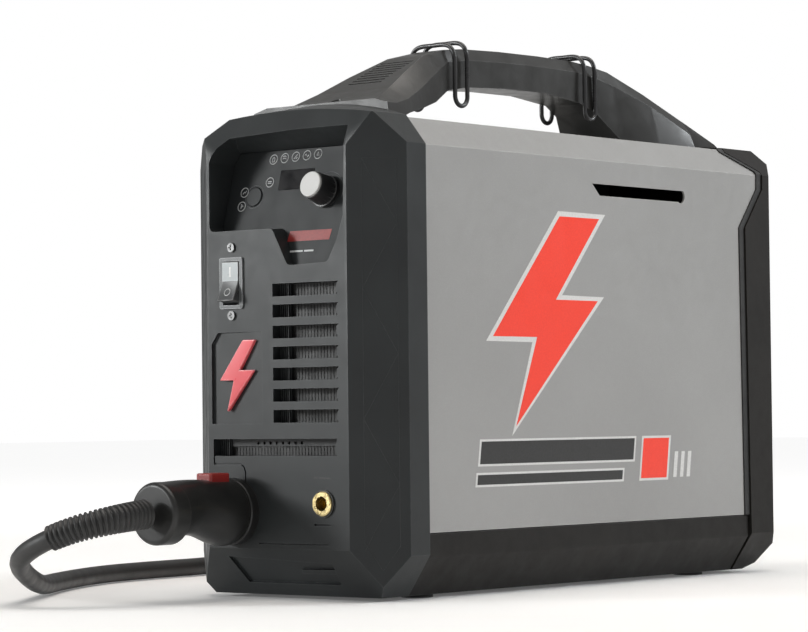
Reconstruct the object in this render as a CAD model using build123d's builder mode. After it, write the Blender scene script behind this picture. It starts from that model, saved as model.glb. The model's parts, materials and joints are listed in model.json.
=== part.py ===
from build123d import *
import os
from math import atan, cos, degrees, hypot, pi, radians, sin, tan

os.makedirs("parts", exist_ok=True)

# Portable plasma cutter. Millimetres. x runs across, y from the front (-) to the rear (+), z up from
# the floor. The origin is on the floor, under the middle of the machine.

# Housing
FRONT_Y = -217.0          # flat front face
REAR_Y = 224.0            # flat rear face
BEZEL_HALF = 86.5         # half the width over the bezels
BEZEL_WALL = 3.0
FLOOR_GAP = 2.0           # the housing stands this high on its feet
FACE_HALF = 58.2          # half the width of the flat front face
FACET_Y = -192.4          # where the front corner facets meet the sides
FRONT_END_Y = -174.0      # rear edge of the front bezel
SHOULDER_Z = 281.0        # the sides bend inwards here
EDGE_Z = 300.0            # the top bevels end here
EDGE_HALF = 71.0
BROW_Z = 279.7            # the front face leans back above this height
BROW_LEAN = 10.2 / 19.8
SILL_Z = 31.6             # and below this height
SILL_LEAN = 13.3 / 22.7
FOOT_X = 73.5             # the side bevels at the foot pass through this point
FOOT_Z = 8.9
SEAM = 0.2                # gap at a seam between two mouldings
GROOVE = 1.2              # depth and width of the lines in the front face
SILL_RECESS = 1.8         # depth of the step in the leaning strip under the face

# Cover and base
COVER_HALF = 84.5
COVER_TOP = 298.6
COVER_SHEET = 1.5
BASE_TOP = 41.0
BASE_END_Y = 186.0
FEET_GRID = (112, 300)    # distances between the feet
GASKET_HALF = 3.0         # half the width of the gasket line along y

# Control recess: a floor that leans back under the brow
RECESS_DEEP_Y = FRONT_Y + 27.0
RECESS_DEEP_Z = 282.0
RECESS_LEAN = 0.272
OVERLAY = 1.3             # top of the overlay above the recess floor
KNOB_X = 27.5
KNOB_UP = -30.4           # along the recess floor, from its deepest line
BUTTON_X = -33.0
BUTTON_R = 6.2

# Louvres and long slot
SLOT_LEFT = -3.0
SLOT_RIGHT = 51.0
SLOT_HIGH = 8.0
SLOT_PITCH = 13.1
SLOT_COUNT = 7
SLOT_TOP_Z = 196.5
DUCT_DEEP = 14.0
LONG_SLOT_LEFT = -54.0
LONG_SLOT_Z = 94.6        # middle height of the long slot
LONG_SLOT_HALF = 5.3

# Front fittings
SWITCH_X = -37.0
SWITCH_Z = 198.0
ROCKER_TILT = 12.0        # the rocker rests this far to one side of its middle
ROCKER_PIVOT = 1.5        # its pin lies this far behind the front face
TORCH_X = -36.5
TORCH_Z = 54.5
SOCKET_R = 14.6
WORK_X = 37.8
WORK_Z = 60.0
WORK_BORE_R = 4.5

# Rear fittings
POCKET_FLOOR_Y = 203.0
REAR_SCREWS = ((-72, 150), (72, 150), (-72, 270), (72, 270))
PORT_Z = 258.0
FAN_Z = 168.0
FAN_R = 54.0
FAN_Y = 150.0
INLET_X = -42.0
INLET_Z = 62.0
FILTER_Z = 66.0
BOWL_Y = 169.0
BOWL_TOP = 48.8
GLAND_X = 42.0
GLAND_BORE_R = 7.0

# Inside
TRANSFORMER_Z = 57.0

# Torch lead: 6.1 m from plug to torch
LEAD_R = 6.25
COIL_X = -228.0
COIL_Y = 118.0
COIL_MID_R = 75.0
COIL_COLUMNS = 3
COIL_LAYERS = 4
HAND_X = -110.0           # the handle of the torch lies along this line
HAND_Z = 17.5
HAND_Y = 40.0             # lengths along the torch are measured from here


def xz(y):
    """Upright plane across the machine at y; its sketches use x and z."""
    return Plane.XZ.offset(-y)


def yz(x):
    """Upright plane along the machine at x; its sketches use y and z."""
    return Plane.YZ.offset(x)


def xy(z):
    return Plane.XY.offset(z)


def outline(*points):
    """A polygon in the current sketch, its points where they are given."""
    Polygon(*points, align=None)


def both(*points):
    """Points of one side, then their mirror images in reverse: a symmetrical outline."""
    return list(points) + [(-x, z) for x, z in reversed(points)]


# The recess floor as a plane: x across, y up the slope, z out of the floor.
LEAN = atan(RECESS_LEAN)
PANEL = Plane(
    origin=(0, RECESS_DEEP_Y, RECESS_DEEP_Z), x_dir=(1, 0, 0), z_dir=(0, -cos(LEAN), sin(LEAN))
)
SILL = Plane(origin=(0, FRONT_Y, SILL_Z), x_dir=(1, 0, 0), z_dir=(0, -1, -SILL_LEAN))


def on_panel(height):
    return PANEL.offset(height)


def foot_bevel(side):
    """Plane of the bevel along the foot of one side, facing inwards."""
    return Plane(origin=(side * FOOT_X, 0, FOOT_Z), z_dir=(-19 * side, 0, 13))


def front_form(inset, end_y):
    """Outer shape of the front bezel, or with an inset the space within its wall."""
    half = BEZEL_HALF - inset
    low = FLOOR_GAP + inset
    face = FRONT_Y + inset
    with BuildPart() as form:
        for y, crown in ((FRONT_Y, 303.0), (end_y, 311.0)):
            with BuildSketch(xz(y)):
                with BuildLine():
                    Polyline(
                        (-EDGE_HALF, EDGE_Z - inset),
                        (-half, SHOULDER_Z - inset),
                        (-half, low),
                        (half, low),
                        (half, SHOULDER_Z - inset),
                        (EDGE_HALF, EDGE_Z - inset),
                    )
                    ThreePointArc(
                        (EDGE_HALF, EDGE_Z - inset), (0, crown - inset), (-EDGE_HALF, EDGE_Z - inset)
                    )
                make_face()
        loft()
        facet = atan((FACET_Y - FRONT_Y) / (BEZEL_HALF - FACE_HALF))
        face_half = FACE_HALF - inset * tan(facet / 2)
        facet_y = FACET_Y + inset * tan(pi / 4 - facet / 2)
        with BuildSketch(Plane.XY):
            outline(*both((half, end_y), (half, facet_y), (face_half, face)))
        extrude(amount=330, mode=Mode.INTERSECT)
        top_z = 320.0
        with BuildSketch(yz(-BEZEL_HALF)):
            outline(
                (face, SILL_Z + inset * tan(atan(SILL_LEAN) / 2)),
                (face, BROW_Z - inset * tan(atan(BROW_LEAN) / 2)),
                (face + (top_z - BROW_Z) * BROW_LEAN, top_z),
                (end_y, top_z),
                (end_y, 0),
                (face + SILL_Z * SILL_LEAN, 0),
            )
        extrude(amount=2 * BEZEL_HALF, mode=Mode.INTERSECT)
        # bevels along the foot, and the rounded upper corner on the left
        for side in (1, -1):
            split(bisect_by=foot_bevel(side).offset(inset), keep=Keep.TOP)
        shoulder = Plane(origin=(-BEZEL_HALF, FACET_Y, 273), z_dir=(311, 66, -175))
        split(bisect_by=shoulder.offset(inset), keep=Keep.TOP)
        crest = Plane(origin=(-72, -206, 289), z_dir=(224, 108, -384))
        split(bisect_by=crest.offset(inset), keep=Keep.TOP)
    return form.part


def recess_form(grow):
    """The space of the control recess; grow moves its walls and floor outwards."""
    deep = RECESS_DEEP_Y + grow
    with BuildPart() as form:
        with BuildSketch(xz(-240)) as mouth:
            outline(
                (-56, 231), (-3, 231), (9.7, 207.5), (42.5, 208.5), (50, 221.7), (55.3, 236.7),
                (56.6, 277), (54.6, 294.5), (-43, 290), (-51, 284.5), (-56, 275),
            )
            fillet(mouth.vertices(), 4)
            if grow:
                offset(amount=grow)
        extrude(amount=-70)
        with BuildSketch(yz(-70)):
            low = 195.0
            outline(
                (-240, low),
                (deep - (RECESS_DEEP_Z - low) * RECESS_LEAN, low),
                (deep, RECESS_DEEP_Z + grow),
                (FRONT_Y + 5.5, 293 + grow),
                (-240, 307.5 + grow),
            )
        extrude(amount=140, mode=Mode.INTERSECT)
    return form.part


def slot_outline(top_z, left):
    """A vent slot whose right end is nicked inwards."""
    low = top_z - SLOT_HIGH
    nick = 1.6
    outline(
        (left, low), (SLOT_RIGHT, low), (SLOT_RIGHT - nick, low + 1.6),
        (SLOT_RIGHT - nick, top_z - 1.6), (SLOT_RIGHT, top_z), (left, top_z),
    )


def inset_form():
    """Inset for the emblem, deep at its left and running out to the right."""
    with BuildPart() as form:
        with BuildSketch(xy(109.5)):
            outline((-55, FRONT_Y - 1), (-55, FRONT_Y + 2), (-12, FRONT_Y + 0.3), (-12, FRONT_Y - 1))
        extrude(amount=57.5)
        with BuildSketch(xz(FRONT_Y - 2)):
            outline((-55, 109.5), (-12, 109.5), (-12, 167), (-49.5, 167), (-55, 160))
        extrude(amount=-6, mode=Mode.INTERSECT)
    return form.part


def front_bezel():
    with BuildPart() as bezel:
        add(front_form(0, FRONT_END_Y))
        inner = front_form(BEZEL_WALL, FRONT_END_Y + 1)
        add(inner - recess_form(2.5), mode=Mode.SUBTRACT)
        # ducts behind the louvres and behind the long slot
        with BuildSketch(xz(FRONT_Y + BEZEL_WALL - 0.5)):
            with Locations((24, 152.5)):
                Rectangle(62, 95)
            with Locations((-2.5, LONG_SLOT_Z)):
                Rectangle(110, 17)
        extrude(amount=-(DUCT_DEEP - BEZEL_WALL + 0.5))
        add(recess_form(0), mode=Mode.SUBTRACT)
        with BuildSketch(xz(FRONT_Y - 1)):
            for index in range(SLOT_COUNT):
                slot_outline(SLOT_TOP_Z - index * SLOT_PITCH, SLOT_LEFT)
            low, high = LONG_SLOT_Z - LONG_SLOT_HALF, LONG_SLOT_Z + LONG_SLOT_HALF
            outline(
                (LONG_SLOT_LEFT, low), (49, low), (47.6, LONG_SLOT_Z), (49, high), (LONG_SLOT_LEFT, high)
            )
        extrude(amount=-(DUCT_DEEP + 2), mode=Mode.SUBTRACT)
        # cut-outs for the switch, the torch receptacle and the work socket
        with BuildSketch(xz(FRONT_Y - 1)):
            with Locations((SWITCH_X, SWITCH_Z)):
                Rectangle(17.2, 30.2)
            with Locations((TORCH_X, TORCH_Z)):
                Circle(17.8)
            with Locations((WORK_X, WORK_Z)):
                Circle(7.0)
            with Locations((SWITCH_X, SWITCH_Z + 22.5), (SWITCH_X, SWITCH_Z - 20.4)):
                Circle(1.6)
        extrude(amount=-6, mode=Mode.SUBTRACT)
        # holes in the recess floor for the encoder bush and the button stem
        with BuildSketch(on_panel(1)):
            with Locations((KNOB_X, KNOB_UP)):
                Circle(4.7)
            with Locations((BUTTON_X, KNOB_UP)):
                Circle(2.3)
        extrude(amount=-6, mode=Mode.SUBTRACT)
        add(inset_form(), mode=Mode.SUBTRACT)
        # shallow grooves of the lower part
        with BuildSketch(xz(FRONT_Y + GROOVE)):
            left, right = LONG_SLOT_LEFT, -27.6
            outline((left, 83.8), (left + GROOVE, 83.8), (left + GROOVE, 90), (left, 90))
            outline(
                (left, 83.8), (-31, 83.8), (-28.8, 82.2), (right, 79), (right, 70),
                (right + GROOVE, 70), (right + GROOVE, 79.4), (-27.9, 83.3), (-31, 83.8 + GROOVE),
                (left, 83.8 + GROOVE),
            )
            outline((30, 46.4), (44, 46.4), (44, 46.4 + GROOVE), (30, 46.4 + GROOVE))
            outline((-16, 34.5), (41, 34.5), (41, 35.2), (-16, 35.2))
        extrude(amount=3, mode=Mode.SUBTRACT)
        # recess in the sill, with a ledge
        with BuildSketch(SILL.offset(-SILL_RECESS)):
            outline((-45, -6.5), (40, -10.2), (40, -25.5), (-36, -25.5))
        extrude(amount=6, mode=Mode.SUBTRACT)
        with BuildSketch(SILL.offset(-SILL_RECESS)):
            outline((12, -15.2), (40, -14.7), (40, -18), (12, -18.2))
        extrude(amount=SILL_RECESS - 0.3)
    bezel.part.label = "front_bezel"
    export_step(bezel.part, "parts/front_bezel.step")


# ---- housing -------------------------------------------------------------------------------------

def seam_region(shift, start_y, low_z):
    """Side view of everything in front of the rear seam, moved along y by shift."""
    outline(
        (start_y, low_z),
        (183.0 + shift, low_z),
        (179.8 + shift, 243),
        (202.5 + shift, 271),
        (202.8 + shift, 284),
        (174.8 + shift, 297),
        (174.8 + shift, 340),
        (start_y, 340),
    )


def sheet_profile(half, top_z, edge_half, low_z):
    """Front view of the cover or of a layer under it."""
    outline(*both((half, low_z), (half, SHOULDER_Z - (COVER_HALF - half)), (edge_half, top_z)))


def rear_form(inset, start_y):
    """Outer shape of the rear bezel, or with an inset the space within its wall."""
    half = BEZEL_HALF - inset
    low = FLOOR_GAP + inset
    back = REAR_Y - inset
    with BuildPart() as form:
        with BuildSketch(xz(start_y)):
            with BuildLine():
                Polyline(
                    (-EDGE_HALF, EDGE_Z - inset),
                    (-half, SHOULDER_Z - inset),
                    (-half, low),
                    (half, low),
                    (half, SHOULDER_Z - inset),
                    (EDGE_HALF, EDGE_Z - inset),
                )
                ThreePointArc(
                    (EDGE_HALF, EDGE_Z - inset), (0, 303.5 - inset), (-EDGE_HALF, EDGE_Z - inset)
                )
            make_face()
        extrude(amount=-(back - start_y))
        with BuildSketch(yz(-BEZEL_HALF)):
            outline(
                (start_y, 0), (193, 0), (back - 12, 6 + inset), (back, 24), (back, 290),
                (back - 14, 306), (start_y, 306),
            )
        extrude(amount=2 * BEZEL_HALF, mode=Mode.INTERSECT)
        with BuildSketch(Plane.XY):
            outline(*both((half, start_y), (half, back - 10), (half - 8, back)))
        extrude(amount=330, mode=Mode.INTERSECT)
        for side in (1, -1):
            split(bisect_by=foot_bevel(side).offset(inset), keep=Keep.TOP)
    return form.part


def fan_slots():
    """Curved grille openings in the current sketch, around its origin."""
    with BuildSketch(mode=Mode.PRIVATE) as rings:
        for radius in (54, 44, 34, 24, 14):
            Circle(radius)
            Circle(radius - 6.5, mode=Mode.SUBTRACT)
        Rectangle(5, 120, mode=Mode.SUBTRACT)
        Rectangle(120, 5, mode=Mode.SUBTRACT)
    return rings.sketch


def rear_bezel():
    with BuildPart() as bezel:
        add(rear_form(0, 160))
        add(rear_form(BEZEL_WALL, 159), mode=Mode.SUBTRACT)
        # hood that carries on the slope of the handle
        with BuildSketch(xz(178)):
            outline(*both((46, 299), (37, 321)))
        with BuildSketch(xz(200)):
            outline(*both((56, 299), (50, 305)))
        loft(ruled=True)
        # pocket for the cord and air connections
        with BuildSketch(xz(POCKET_FLOOR_Y - BEZEL_WALL)):
            with Locations((0, 63)):
                Rectangle(146, 84)
        extrude(amount=-(REAR_Y - 1 - POCKET_FLOOR_Y + BEZEL_WALL))
        with BuildSketch(xz(POCKET_FLOOR_Y)):
            with Locations((0, 63)):
                Rectangle(140, 78)
        extrude(amount=-40, mode=Mode.SUBTRACT)
        with BuildSketch(xz(POCKET_FLOOR_Y - 5)):
            with Locations((INLET_X, INLET_Z)):
                Circle(8.2)
            with Locations((GLAND_X, INLET_Z)):
                Circle(11.2)
        extrude(amount=-10, mode=Mode.SUBTRACT)
        with BuildSketch(xz(REAR_Y - 10)):
            with Locations((0, FAN_Z)):
                add(fan_slots())
        extrude(amount=-20, mode=Mode.SUBTRACT)
        with BuildSketch(xz(REAR_Y - 1.5)):
            with Locations((0, PORT_Z)):
                Rectangle(56, 26)
        extrude(amount=-5, mode=Mode.SUBTRACT)
        # everything ahead of the seam is cut away
        with BuildSketch(yz(-100)):
            seam_region(GASKET_HALF + SEAM, 100, -1)
        extrude(amount=200, mode=Mode.SUBTRACT)
        with BuildSketch(xz(REAR_Y - 6)):
            with Locations(*REAR_SCREWS):
                Circle(2.1)
        extrude(amount=-10, mode=Mode.SUBTRACT)
        with BuildSketch(xz(REAR_Y - 1.8)):
            with Locations(*REAR_SCREWS):
                Circle(3.9)
        extrude(amount=-4, mode=Mode.SUBTRACT)
    bezel.part.label = "rear_bezel"
    export_step(bezel.part, "parts/rear_bezel.step")


def rear_screws():
    """Pan-head screws that hold the rear bezel, sunk into it."""
    with BuildPart() as screws:
        with BuildSketch(xz(REAR_Y - 0.2)):
            with Locations(*REAR_SCREWS):
                Circle(3.6)
        extrude(amount=1.6)
        with BuildSketch(xz(REAR_Y - 0.2)):
            with Locations(*REAR_SCREWS):
                RectangleRounded(3.4, 0.9, 0.3)
                RectangleRounded(0.9, 3.4, 0.3)
        extrude(amount=0.8, mode=Mode.SUBTRACT)
        with BuildSketch(xz(REAR_Y - 1.7)):
            with Locations(*REAR_SCREWS):
                Circle(2.0)
        extrude(amount=10)
    screws.part.label = "rear_screws"
    export_step(screws.part, "parts/rear_screws.step")


def base_pan():
    with BuildPart() as pan:
        with BuildSketch(xz(FRONT_END_Y + SEAM)):
            outline(*both((67.8, FLOOR_GAP), (COVER_HALF, 26.4), (COVER_HALF, BASE_TOP)))
        extrude(amount=-(BASE_END_Y - FRONT_END_Y - SEAM))
        with BuildSketch(xz(FRONT_END_Y)):
            outline(*both((66.3, FLOOR_GAP + 4), (80.5, 26.8), (80.5, 60)))
        extrude(amount=-400, mode=Mode.SUBTRACT)
        with BuildSketch(yz(-100)):
            outline((186.0, 0), (182.8, 60), (200, 60), (200, 0))
        extrude(amount=200, mode=Mode.SUBTRACT)
        with BuildSketch(xy(0)):
            with GridLocations(*FEET_GRID, 2, 2):
                Circle(3.1)
            with Locations((INLET_X, BOWL_Y)):
                Circle(7)
        extrude(amount=20, mode=Mode.SUBTRACT)
    pan.part.label = "base_pan"
    export_step(pan.part, "parts/base_pan.step")


def feet():
    """Four rubber feet with stems in the base."""
    with BuildPart() as foot:
        with BuildSketch(Plane.XY):
            with GridLocations(*FEET_GRID, 2, 2):
                Circle(10)
        extrude(amount=FLOOR_GAP)
        with BuildSketch(Plane.XY):
            with GridLocations(*FEET_GRID, 2, 2):
                Circle(3.0)
        extrude(amount=7)
    foot.part.label = "feet"
    export_step(foot.part, "parts/feet.step")


def cover():
    start = FRONT_END_Y + SEAM
    with BuildPart() as sheet:
        with BuildSketch(xz(start)):
            sheet_profile(COVER_HALF, COVER_TOP, 70.5, BASE_TOP + SEAM)
            inner_half = COVER_HALF - COVER_SHEET
            Polygon(
                *both((inner_half, 0), (inner_half, SHOULDER_Z - 2), (69.6, COVER_TOP - COVER_SHEET)),
                align=None, mode=Mode.SUBTRACT,
            )
        extrude(amount=-(215 - start))
        with BuildSketch(yz(-100)):
            seam_region(-GASKET_HALF, start - 1, -1)
        extrude(amount=200, mode=Mode.INTERSECT)
        # slanted vent slot near the top of each side
        with BuildSketch(yz(-100)):
            with BuildLine():
                Polyline((103, 257.6), (11.0, 257.6), (2.6, 265.4), (109, 265.4))
                ThreePointArc((109, 265.4), (110.6, 260.6), (103, 257.6))
            make_face()
        extrude(amount=200, mode=Mode.SUBTRACT)
    sheet.part.label = "cover"
    export_step(sheet.part, "parts/cover.step")


def cover_gasket():
    with BuildPart() as gasket:
        with BuildSketch(xz(150)):
            sheet_profile(COVER_HALF + 0.8, COVER_TOP + 0.8, 70.9, BASE_TOP + SEAM)
            inner_half = COVER_HALF - 2.4
            Polygon(
                *both((inner_half, 0), (inner_half, SHOULDER_Z - 2), (69.3, COVER_TOP - 2.4)),
                align=None, mode=Mode.SUBTRACT,
            )
        extrude(amount=-70)
        with BuildSketch(yz(-100)):
            seam_region(GASKET_HALF, 100, -1)
        extrude(amount=200, mode=Mode.INTERSECT)
        with BuildSketch(yz(-100)):
            seam_region(SEAM - GASKET_HALF, 90, -2)
        extrude(amount=200, mode=Mode.SUBTRACT)
    gasket.part.label = "cover_gasket"
    export_step(gasket.part, "parts/cover_gasket.step")


HANDLE_SCREWS = ((0, -158, 309), (-20, 158, 315), (20, 158, 315))   # x, y and height of the seat


def arm_section(y, top_half, top_z, edge_half, edge_z, foot_half, foot_z):
    """One section of the handle: flat top, bevel, side wall."""
    with BuildSketch(xz(y)) as section:
        outline(*both((foot_half, foot_z), (edge_half, edge_z), (top_half, top_z)))
    return section.sketch


def handle():
    foot = COVER_TOP + SEAM
    rear_foot = COVER_TOP + 1.1
    stations = (
        (-173.8, 45, 312, 56, 309, 57, foot),
        (-160, 35, 313.5, 52.5, 309.6, 53, foot),
        (-141, 30, 322, 46, 314, 47.5, 305),
        (-117, 23.5, 334.5, 37, 323, 38, 310),
        (-88, 15, 348.3, 25.5, 335.5, 26, 317),
        (-62, 11.5, 354.5, 15.2, 346, 15.5, 327.5),
        (-40, 9.5, 357, 15, 349, 14.8, 331),
        (0, 9, 358.6, 15, 350.5, 14.6, 333),
        (45, 9, 359.2, 15, 351, 14.6, 333.4),
        (85, 9, 358.8, 15, 350.5, 14.8, 329.5),
        (101, 11, 357, 16.5, 348, 17.5, 323),
        (118, 15, 353.3, 21, 343, 25, 306),
        (146, 25.5, 339, 32.5, 330, 39, rear_foot),
        (177.7, 37, 321, 45, 311, 49, rear_foot),
    )
    sections = [arm_section(*station) for station in stations]
    with BuildPart() as arm:
        for first, second in zip(sections, sections[1:]):
            loft([first, second], ruled=True)
        # ribs across the front ramp
        slope = atan((348.3 - 322) / 53)
        with BuildSketch(yz(-14)):
            for index in range(9):
                run = 4.5 * index
                y = -129 + run * cos(slope)
                z = 327.9 + run * sin(slope)
                outline((y, z - 1), (y + 1.6, z - 0.2), (y + 0.6, z + 1.5), (y - 1.0, z + 0.7))
        extrude(amount=28, mode=Mode.SUBTRACT)
        # sunk holes for the screws into the bezels
        for x, y, seat in HANDLE_SCREWS:
            with BuildSketch(xy(seat)):
                with Locations((x, y)):
                    Circle(4)
            extrude(amount=60, mode=Mode.SUBTRACT)
    arm.part.label = "handle"
    export_step(arm.part, "parts/handle.step")


def handle_screws():
    with BuildPart() as screws:
        for x, y, seat in HANDLE_SCREWS:
            with BuildSketch(xy(seat)):
                with Locations((x, y)):
                    Circle(3.6)
            extrude(amount=3)
            with BuildSketch(xy(seat + 2)):
                with Locations((x, y)):
                    RegularPolygon(2.0, 6)
            extrude(amount=2, mode=Mode.SUBTRACT)
    screws.part.label = "handle_screws"
    export_step(screws.part, "parts/handle_screws.step")


def hanger_wire(front_y, rear_y, top_z, loop_z, drop):
    """A closed wire loop: twice over the grip, and a loop that hangs on each side."""
    reach = 18.8
    wire_r = 1.5
    mid_y = (front_y + rear_y) / 2
    loop_r = (rear_y - front_y) / 2
    low = loop_z + loop_r
    with BuildPart() as wire:
        with BuildLine() as path:
            Line((reach, front_y, low), (reach, front_y, top_z - 13 - drop))
            Spline(
                (reach, front_y, top_z - 13 - drop), (0, front_y, top_z - drop),
                (-reach, front_y, top_z - 13 - drop),
                tangents=((0, 0, 1), (0, 0, -1)),
            )
            Line((-reach, front_y, top_z - 13 - drop), (-reach, front_y, low))
            ThreePointArc(
                (-reach, front_y, low), (-reach, mid_y, loop_z), (-reach, rear_y, low))
            Line((-reach, rear_y, low), (-reach, rear_y, top_z - 13))
            Spline(
                (-reach, rear_y, top_z - 13), (0, rear_y, top_z), (reach, rear_y, top_z - 13),
                tangents=((0, 0, 1), (0, 0, -1)),
            )
            Line((reach, rear_y, top_z - 13), (reach, rear_y, low))
            ThreePointArc((reach, rear_y, low), (reach, mid_y, loop_z), (reach, front_y, low))
        with BuildSketch(Plane(origin=(reach, front_y, low), z_dir=(0, 0, 1))):
            Circle(wire_r)
        sweep(path=path.wires()[0])
    return wire.part


def wire_hangers():
    """Front and rear hanger, each of one closed wire."""
    with BuildPart() as hangers:
        add(hanger_wire(-59.0, -46.0, 360.6, 317.5, 2.2))
        add(hanger_wire(86.0, 98.0, 362.4, 318.0, 0.0))
    hangers.part.label = "wire_hangers"
    export_step(hangers.part, "parts/wire_hangers.step")


# ---- controls ------------------------------------------------------------------------------------

def control_panel():
    """Overlay plate on the recess floor, open for the window, the knob and the button."""
    with BuildPart() as panel:
        add(recess_form(-0.5))
        with BuildSketch(on_panel(0.1)):
            with Locations((0, -40)):
                Rectangle(140, 120)
        extrude(amount=OVERLAY - 0.1, mode=Mode.INTERSECT)
        with BuildSketch(on_panel(-1)):
            with Locations((0, KNOB_UP + 10)):
                Rectangle(28.4, 13.4)
            with Locations((KNOB_X, KNOB_UP)):
                Circle(5.2)
            with Locations((BUTTON_X, KNOB_UP)):
                Circle(BUTTON_R + 0.4)
        extrude(amount=5, mode=Mode.SUBTRACT)
    panel.part.label = "control_panel"
    export_step(panel.part, "parts/control_panel.step")


def display_window():
    with BuildPart() as window:
        with BuildSketch(on_panel(0.1)):
            with Locations((0, KNOB_UP + 10)):
                RectangleRounded(28, 13, 0.8)
        extrude(amount=OVERLAY + 0.2)
    window.part.label = "display_window"
    export_step(window.part, "parts/display_window.step")


def mode_button():
    with BuildPart() as button:
        with BuildSketch(on_panel(0.9)):
            with Locations((BUTTON_X, KNOB_UP)):
                Circle(BUTTON_R)
        extrude(amount=1.2)
        fillet(button.faces().sort_by(Axis(PANEL.origin, PANEL.z_dir))[-1].edges(), 0.5)
        with BuildSketch(on_panel(-6)):
            with Locations((BUTTON_X, KNOB_UP)):
                Circle(2.0)
        extrude(amount=7)
    button.part.label = "mode_button"
    export_step(button.part, "parts/mode_button.step")


def encoder():
    """Rotary encoder: body behind the recess floor, bush through it."""
    with BuildPart() as body:
        with BuildSketch(on_panel(-11)):
            with Locations((KNOB_X, KNOB_UP)):
                RectangleRounded(14, 14, 1)
        extrude(amount=8)
        with BuildSketch(on_panel(-4)):
            with Locations((KNOB_X, KNOB_UP)):
                Circle(4.5)
        extrude(amount=5.2)
        with BuildSketch(on_panel(-9)):
            with Locations((KNOB_X, KNOB_UP)):
                Circle(3.05)
        extrude(amount=12, mode=Mode.SUBTRACT)
    body.part.label = "encoder"
    export_step(body.part, "parts/encoder.step")


def knob_shaft():
    with BuildPart() as shaft:
        with BuildSketch(on_panel(-8.5)):
            with Locations((KNOB_X, KNOB_UP)):
                Circle(3.0)
        extrude(amount=20)
    shaft.part.label = "knob_shaft"
    export_step(shaft.part, "parts/knob_shaft.step")


def adjust_knob():
    """Tapered knob with grip flutes and a skirt."""
    flutes = 18
    with BuildPart() as knob:
        with BuildSketch(on_panel(1.8)):
            with Locations((KNOB_X, KNOB_UP)):
                Circle(10.4)
        extrude(amount=2.6)
        with BuildSketch(on_panel(4.4)):
            with Locations((KNOB_X, KNOB_UP)):
                Circle(9.6)
        extrude(amount=12.0, taper=4.5)
        with BuildSketch(on_panel(4.4)):
            with Locations((KNOB_X, KNOB_UP)):
                with PolarLocations(9.9, flutes):
                    Circle(0.7)
        extrude(amount=12.1, mode=Mode.SUBTRACT)
        with BuildSketch(on_panel(1)):
            with Locations((KNOB_X, KNOB_UP)):
                Circle(3.02)
        extrude(amount=10.6, mode=Mode.SUBTRACT)
    knob.part.label = "adjust_knob"
    export_step(knob.part, "parts/adjust_knob.step")


def knob_cap():
    with BuildPart() as cap:
        with BuildSketch(on_panel(16.4)):
            with Locations((KNOB_X, KNOB_UP)):
                Circle(8.1)
        extrude(amount=1.6)
        fillet(cap.edges().group_by(Axis(PANEL.origin, PANEL.z_dir))[-1], 0.6)
    cap.part.label = "knob_cap"
    export_step(cap.part, "parts/knob_cap.step")


def switch_frame():
    with BuildPart() as frame:
        with BuildSketch(xz(FRONT_Y)):
            with Locations((SWITCH_X, SWITCH_Z)):
                RectangleRounded(19.4, 32.4, 1.5)
        extrude(amount=1.1)
        with BuildSketch(xz(FRONT_Y)):
            with Locations((SWITCH_X, SWITCH_Z)):
                Rectangle(17, 30)
        extrude(amount=-22)
        with BuildSketch(xz(FRONT_Y - 5)):
            with Locations((SWITCH_X, SWITCH_Z)):
                Rectangle(14.0, 27.6)
        extrude(amount=-17, mode=Mode.SUBTRACT)
        # hinge pin across the opening
        with BuildSketch(yz(SWITCH_X - 7.5)):
            with Locations((FRONT_Y + ROCKER_PIVOT, SWITCH_Z)):
                Circle(1.0)
        extrude(amount=15)
    frame.part.label = "switch_frame"
    export_step(frame.part, "parts/switch_frame.step")


def switch_rocker():
    """Rocker with two faces that meet over its pin, resting on its upper side."""
    half = 12.6
    turn = radians(ROCKER_TILT)

    def turned(forward, up):
        """From rocker coordinates to y and z, tilted so that the lower end stands out."""
        out = forward * cos(turn) - up * sin(turn)
        rise = up * cos(turn) + forward * sin(turn)
        return (FRONT_Y + ROCKER_PIVOT - out, SWITCH_Z + rise)

    lift = half * tan(turn)
    with BuildPart() as rocker:
        with BuildSketch(yz(SWITCH_X - 6.7)):
            outline(
                turned(3.2, 0), turned(3.2 + lift, half), turned(-2.5, half), turned(-7, 6),
                turned(-7, -6), turned(-2.5, -half), turned(3.2 + lift, -half),
            )
        extrude(amount=13.4)
        with BuildSketch(yz(SWITCH_X - 8)):
            with Locations((FRONT_Y + ROCKER_PIVOT, SWITCH_Z)):
                Circle(1.05)
        extrude(amount=16, mode=Mode.SUBTRACT)
    rocker.part.label = "switch_rocker"
    export_step(rocker.part, "parts/switch_rocker.step")


def switch_screws():
    places = ((SWITCH_X, SWITCH_Z + 22.5), (SWITCH_X, SWITCH_Z - 20.4))
    with BuildPart() as screws:
        with BuildSketch(xz(FRONT_Y)):
            with Locations(*places):
                Circle(2.9)
        extrude(amount=1.2)
        with BuildSketch(xz(FRONT_Y)):
            with Locations(*places):
                Circle(1.5)
        extrude(amount=-7)
        with BuildSketch(xz(FRONT_Y - 2)):
            with Locations(*places):
                Rectangle(3.4, 0.8)
                Rectangle(0.8, 3.4)
        extrude(amount=-1.5, mode=Mode.SUBTRACT)
    screws.part.label = "switch_screws"
    export_step(screws.part, "parts/switch_screws.step")


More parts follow.
